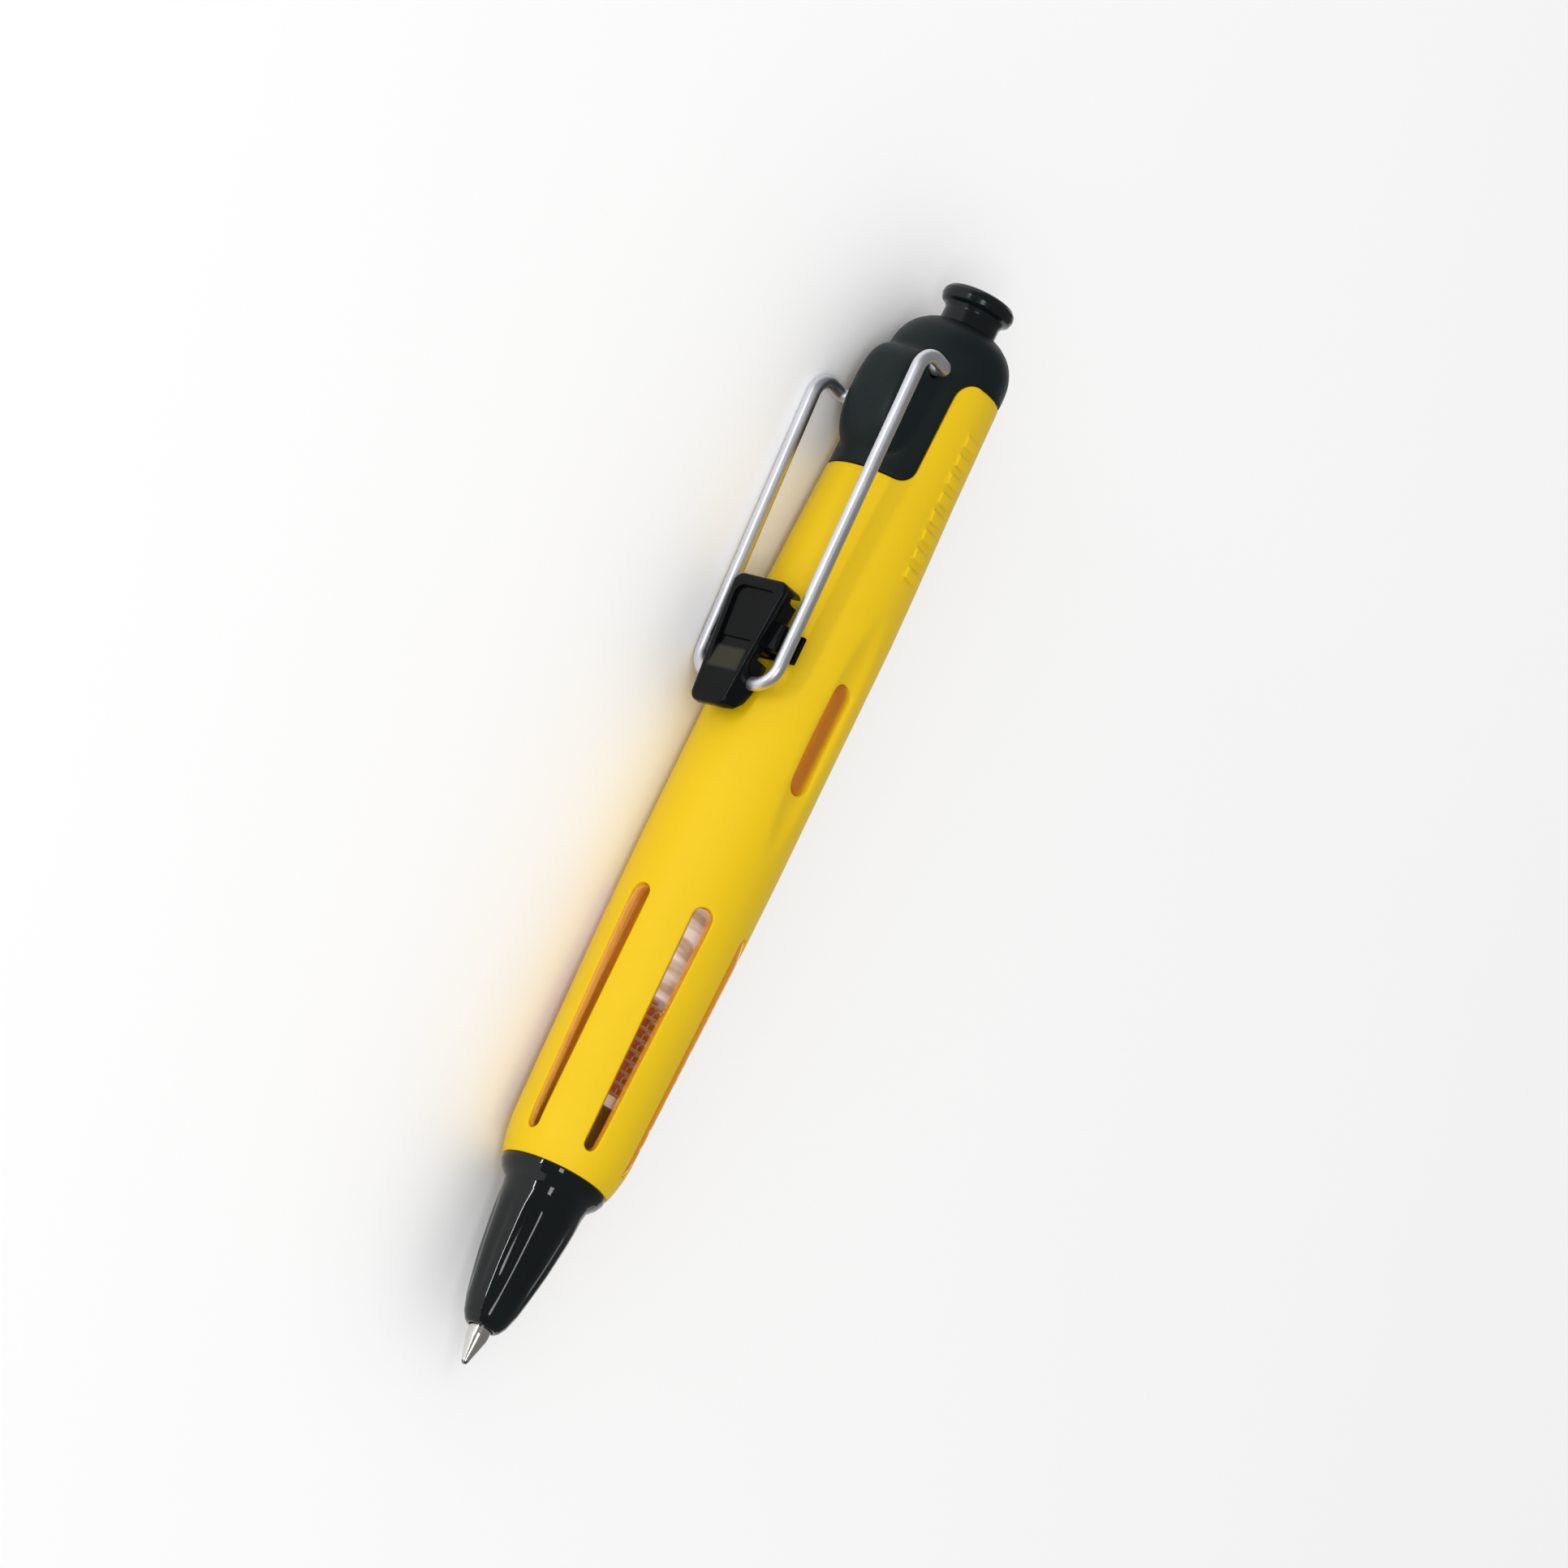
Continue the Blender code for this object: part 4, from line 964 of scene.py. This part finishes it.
def outwards(low_depth, high_depth):
    """Ends for a face outline of (x, level) that is carried outwards between two depths."""
    return [lambda x, level, d=d: (x, -d(level), level) for d in (low_depth, high_depth)]


def round_edges(piece, width, segments=4):
    """Rounds a solid's sharp edges."""
    bevel = piece.modifiers.new("edges", "BEVEL")
    bevel.width, bevel.segments, bevel.angle_limit = width * MM, segments, math.radians(40.0)
    bevel.use_clamp_overlap = False
    apply_modifiers(piece)


def rounded_block(name, low, high, edge):
    """A block with rounded edges between two corners."""
    outline = [(low[0], low[2]), (high[0], low[2]), (high[0], high[2]), (low[0], high[2])]
    return prism(name, outline, outwards(lambda level: -high[1], lambda level: -low[1]), edge)


def combine(target, tools, operation="UNION"):
    """Joins tools to the target, or cuts them from it, and removes them."""
    for tool in tools:
        step = target.modifiers.new(tool.name, "BOOLEAN")
        step.operation, step.solver, step.object = operation, "EXACT", tool
        apply_modifiers(target)
        bpy.data.objects.remove(tool, do_unlink=True)
    target.data.polygons.foreach_set("use_smooth", [True] * len(target.data.polygons))
    target.data.set_sharp_from_angle(angle=math.radians(40.0))


def clamp_outline(low, high, inset, corner):
    """The clamp's face between two levels, drawn in from its sides, with round corners."""
    corners = [(-1, low), (1, low), (1, high), (-1, high)]
    return eased([(side * (clamp_half(level) - inset), level, corner) for side, level in corners], steps=8)


def disc(depth, level, radius):
    """Side outline of a round hole across the pen."""
    turns = [2 * math.pi * k / 40 for k in range(40)]
    return [(level + radius * math.cos(t), depth + radius * math.sin(t)) for t in turns]


def clip_clamp():
    """Moulded clamp on the loop: tapered body, web, lugs, pad, and a sunk panel in its face."""
    low, high = CLAMP_SPAN
    side = CLAMP_BACK[::-1] + [(high, CLAMP_FACE[1]), (low, CLAMP_FACE[0])]
    clamp = prism("clip_clamp", clamp_outline(low, high, 0.0, CLAMP_CORNER),
                  outwards(lambda level: 6.0, lambda level: 13.0))
    combine(clamp, [prism("clamp_side", side, across(5.0))], "INTERSECT")
    round_edges(clamp, CLAMP_EDGE)
    combine(clamp, [prism("recess", CLAMP_RECESS, across(6.0)), prism("notch", CLAMP_NOTCH, across(6.0))],
            "DIFFERENCE")
    combine(clamp, [rounded_block(name, *block) for name, block in CLAMP_BLOCKS.items()])
    ramp_low, floor_low, floor_high = PANEL

    def outside(level):
        return 12.5

    def floor(level):
        return clamp_face(level) - PANEL_DEPTH

    def ramp(level):
        return clamp_face(level) - PANEL_DEPTH * (level - ramp_low) / (floor_low - ramp_low)

    combine(clamp, [
        prism("panel_floor", clamp_outline(floor_low, floor_high, PANEL_INSET, 1.0),
              outwards(floor, outside)),
        prism("panel_ramp", clamp_outline(ramp_low, floor_low + 1.2, PANEL_INSET, 0.0),
              outwards(ramp, outside)),
        prism("loop_hole", disc(LEG_BOTTOM[1], LOOP_LEVEL, WIRE + 0.08), across(4.0)),
    ], "DIFFERENCE")
    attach(clamp, "clip")
    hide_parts("clip_clamp")
    return clamp


# ---- refill and works

def turned_piece(node, body, outline, steps=64, edge=0.08):
    """A turned part inside the barrel, with its edges eased."""
    points, faces = lathe(eased(outline, edge), steps)
    return build(node, points, faces, body)


def tip_ball():
    """Writing ball."""
    turns = [math.pi * k / 24 for k in range(25)]
    points, faces = lathe([(BALL * (1 - math.cos(t)), BALL * math.sin(t)) for t in turns], 48)
    return build("tip_ball", points, faces, "writing_ball")


def coil(node, span, mean, wire_radius, turns):
    """A compression spring with closed ends between the barrel and a moving body, built once at one fixed length.
    """
    low, high = span[0] + wire_radius, span[1] - wire_radius
    close = 2.4 * wire_radius
    path = []
    for i in range(int(turns * COIL_STEPS) + 1):
        turn = i / COIL_STEPS
        level = np.interp(turn, (0, 1, turns - 1, turns), (low, low + close, high - close, high))
        angle = 2 * math.pi * turn
        path.append((mean * math.cos(angle), mean * math.sin(angle), level))
    points, faces = sweep(path, wire_radius, 12)
    piece = build(node, points, faces)
    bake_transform(piece)
    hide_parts(node)
    return piece


def seal(node, body, mean, section, level):
    """Rubber ring of round section."""
    ring = [(level + section * math.sin(t), mean + section * math.cos(t))
            for t in (2 * math.pi * k / 20 for k in range(20))]
    points, faces = lathe(ring, 64)
    return build(node, points, faces, body)


def works():
    """Everything inside: refill, springs, pump and latch."""
    tip_ball()
    turned_piece("tip_cone", "refill_unit", [
        (0.32, 0.37, 0.02), (0.32, 0.41, 0.03), (0.6, 0.46, 0.1), (2.9, 1.12, 0.3), (3.35, 1.2, 0.3),
        (7.4, 1.2), (7.4, 0.9), (9.4, 0.9), (9.4, 0.16, 0.0), (0.76, 0.16, 0.0), (0.55, 0.33, 0.0)],
        96, 0.04)
    turned_piece("tip_holder", "refill_unit", [
        (7.5, 0.95), (7.5, 1.25), (9.0, 1.6), (18.0, 1.6), (18.0, 1.35), (21.4, 1.35), (21.4, 0.6),
        (9.6, 0.6), (9.6, 0.95)])
    turned_piece("refill_tube", "refill_unit", [
        (18.1, 1.4), (18.1, 1.9), (REFILL_SHOULDER, 1.9), (REFILL_SHOULDER, 3.0, 0.25), (80.5, 3.0),
        (80.5, 2.4), (45.2, 2.4), (44.2, 1.4)])
    turned_piece("ink_column", "refill_unit", [
        (21.5, 0.0, 0.0), (21.5, 1.35), (44.4, 1.35), (45.4, 2.35), (62.0, 2.35), (62.0, 0.0, 0.0)])
    turned_piece("ink_follower", "refill_unit", [
        (62.1, 0.0, 0.0), (62.1, 2.35), (66.0, 2.35), (66.0, 0.0, 0.0)])
    turned_piece("refill_tail_plug", "refill_unit", [
        (77.5, 0.8), (77.5, 2.35), (80.55, 2.35), (80.55, 2.9), (82.2, 2.9), (82.2, 0.8)])
    coil("return_spring", (31.5, 43.1), 2.45, 0.2, 10.0)
    turned_piece("spring_seat", "barrel", [(30.1, 2.15), (30.1, 4.6), (31.4, 4.6), (31.4, 2.15)])
    turned_piece("air_cylinder", "barrel", [
        (68.6, 3.12), (68.6, 4.8), (94.0, 4.8), (94.0, 4.18), (69.8, 4.18), (69.8, 3.12)])
    seal("cylinder_seal", "barrel", 3.65, 0.46, 70.35)
    coil("pump_spring", (71.0, 82.2), 3.6, 0.24, 8.0)
    turned_piece("piston", "piston_unit", [
        (82.3, 0.5), (82.3, 3.98), (84.0, 3.98), (84.0, 3.2), (85.5, 3.2), (85.5, 3.98), (87.2, 3.98),
        (87.2, 1.5), (85.4, 1.5), (85.4, 0.5)])
    seal("piston_ring", "piston_unit", 3.71, 0.44, 84.75)
    for node in ("cam_rotor", "cam_guide", "push_rod"):
        keep(node)


def keep(node):
    """A CAD node that stays, with its moulded look."""
    piece = frame["nodes"][node]
    piece.data.materials.clear()
    piece.data.materials.append(look_of(node))


# ---- studio

def view_axes():
    """Turns camera directions (right, up, back) into the row frame."""
    cosine = math.sqrt(1.0 - TIP_TOWARDS ** 2)
    right_share, up_share = math.sin(PICTURE_LEAN), math.cos(PICTURE_LEAN)
    along = Vector((right_share * cosine, up_share * cosine, -TIP_TOWARDS))
    facing = (Vector((0, 0, 1)) + TIP_TOWARDS * along) / cosine
    across = Vector((up_share, -right_share, 0))
    clip = math.cos(CLIP_ROUND) * facing - math.sin(CLIP_ROUND) * across
    side = math.sin(CLIP_ROUND) * facing + math.cos(CLIP_ROUND) * across
    seen = Matrix((along, clip, side)).transposed()
    real = Matrix((TURN.col[2], -TURN.col[1], TURN.col[0])).transposed()
    return real @ seen.transposed()


def camera(axes):
    """Long-lens camera above the pen, rolled so that the pen leans across the picture."""
    data = bpy.data.cameras.new("camera")
    data.sensor_width = 36.0
    data.lens = data.sensor_width * DISTANCE / FRAME_WIDTH
    data.clip_start, data.clip_end = 0.5, 20.0
    eye = added("camera", data)
    tip = PEN @ Vector((0, 0, 0))
    place = tip + axes @ (Vector((*TIP_TO_CENTRE, 0.0)) + Vector((0, 0, DISTANCE)))
    eye.matrix_world = Matrix.Translation(place) @ axes.to_4x4()
    bpy.context.scene.camera = eye


def area_light(name, towards, along, size, watts, mirrored):
    """A soft rectangular light in a direction from the pen, its long side along the pen as it is seen."""
    data = bpy.data.lights.new(name, "AREA")
    data.shape = "RECTANGLE"
    data.size, data.size_y = size
    data.energy = watts
    lamp = added(name, data)
    back = towards.normalized()
    up = (along - back * (along @ back)).normalized()
    turn = Matrix((up.cross(back), up, back)).transposed()
    lamp.matrix_world = Matrix.Translation(towards) @ turn.to_4x4()
    lamp.visible_glossy = mirrored
    return lamp


def surround():
    """Even white surround that glossy surfaces see dimmer than matte ones do."""
    world = bpy.data.worlds.new("surround")
    world.use_nodes = True
    tree = world.node_tree
    ray = tree.nodes.new("ShaderNodeLightPath")
    strength = tree.nodes.new("ShaderNodeMapRange")
    strength.inputs["To Min"].default_value = MATTE_SURROUND
    strength.inputs["To Max"].default_value = GLOSSY_SURROUND
    tree.links.new(ray.outputs["Is Glossy Ray"], strength.inputs["Value"])
    tree.links.new(strength.outputs["Result"], tree.nodes["Background"].inputs["Strength"])
    tree.nodes["Background"].inputs["Color"].default_value = (1, 1, 1, 1)
    bpy.context.scene.world = world


def studio(axes):
    """Pale floor, a big soft light overhead, a narrow key, a small light near the eye, and the surround."""
    seen_along = axes @ Vector((math.sin(PICTURE_LEAN), math.cos(PICTURE_LEAN), 0.0))
    seen_across = axes @ Vector((math.cos(PICTURE_LEAN), -math.sin(PICTURE_LEAN), 0.0))
    eye = axes @ Vector((0.0, 0.0, 1.0))

    def round_pen(degrees):
        turn = math.radians(degrees)
        return eye * math.cos(turn) + seen_across * math.sin(turn)

    for name, degrees, size, watts, mirrored in LAMPS:
        area_light(name, round_pen(degrees), seen_along, size, watts, mirrored)
    surround()
    bpy.context.scene.view_settings.view_transform = "Standard"

    mesh = bpy.data.meshes.new("floor")
    corners = [(x * FLOOR_HALF, y * FLOOR_HALF, 0) for x, y in ((-1, -1), (1, -1), (1, 1), (-1, 1))]
    mesh.from_pydata(corners, [], [(0, 1, 2, 3)])
    floor = added("floor", mesh)
    look = Nodes("floor")
    look.set(Base_Color=look.mix(look.noise(60.0), (0.97, 0.97, 0.97), (0.96, 0.96, 0.96)), Roughness=0.8)
    mesh.materials.append(look.material)


barrel_cover()
inner_barrel()
nose_cone()
cap_housing()
knob()
clip_wire()
clip_clamp()
works()
AXES = view_axes()
camera(AXES)
studio(AXES)
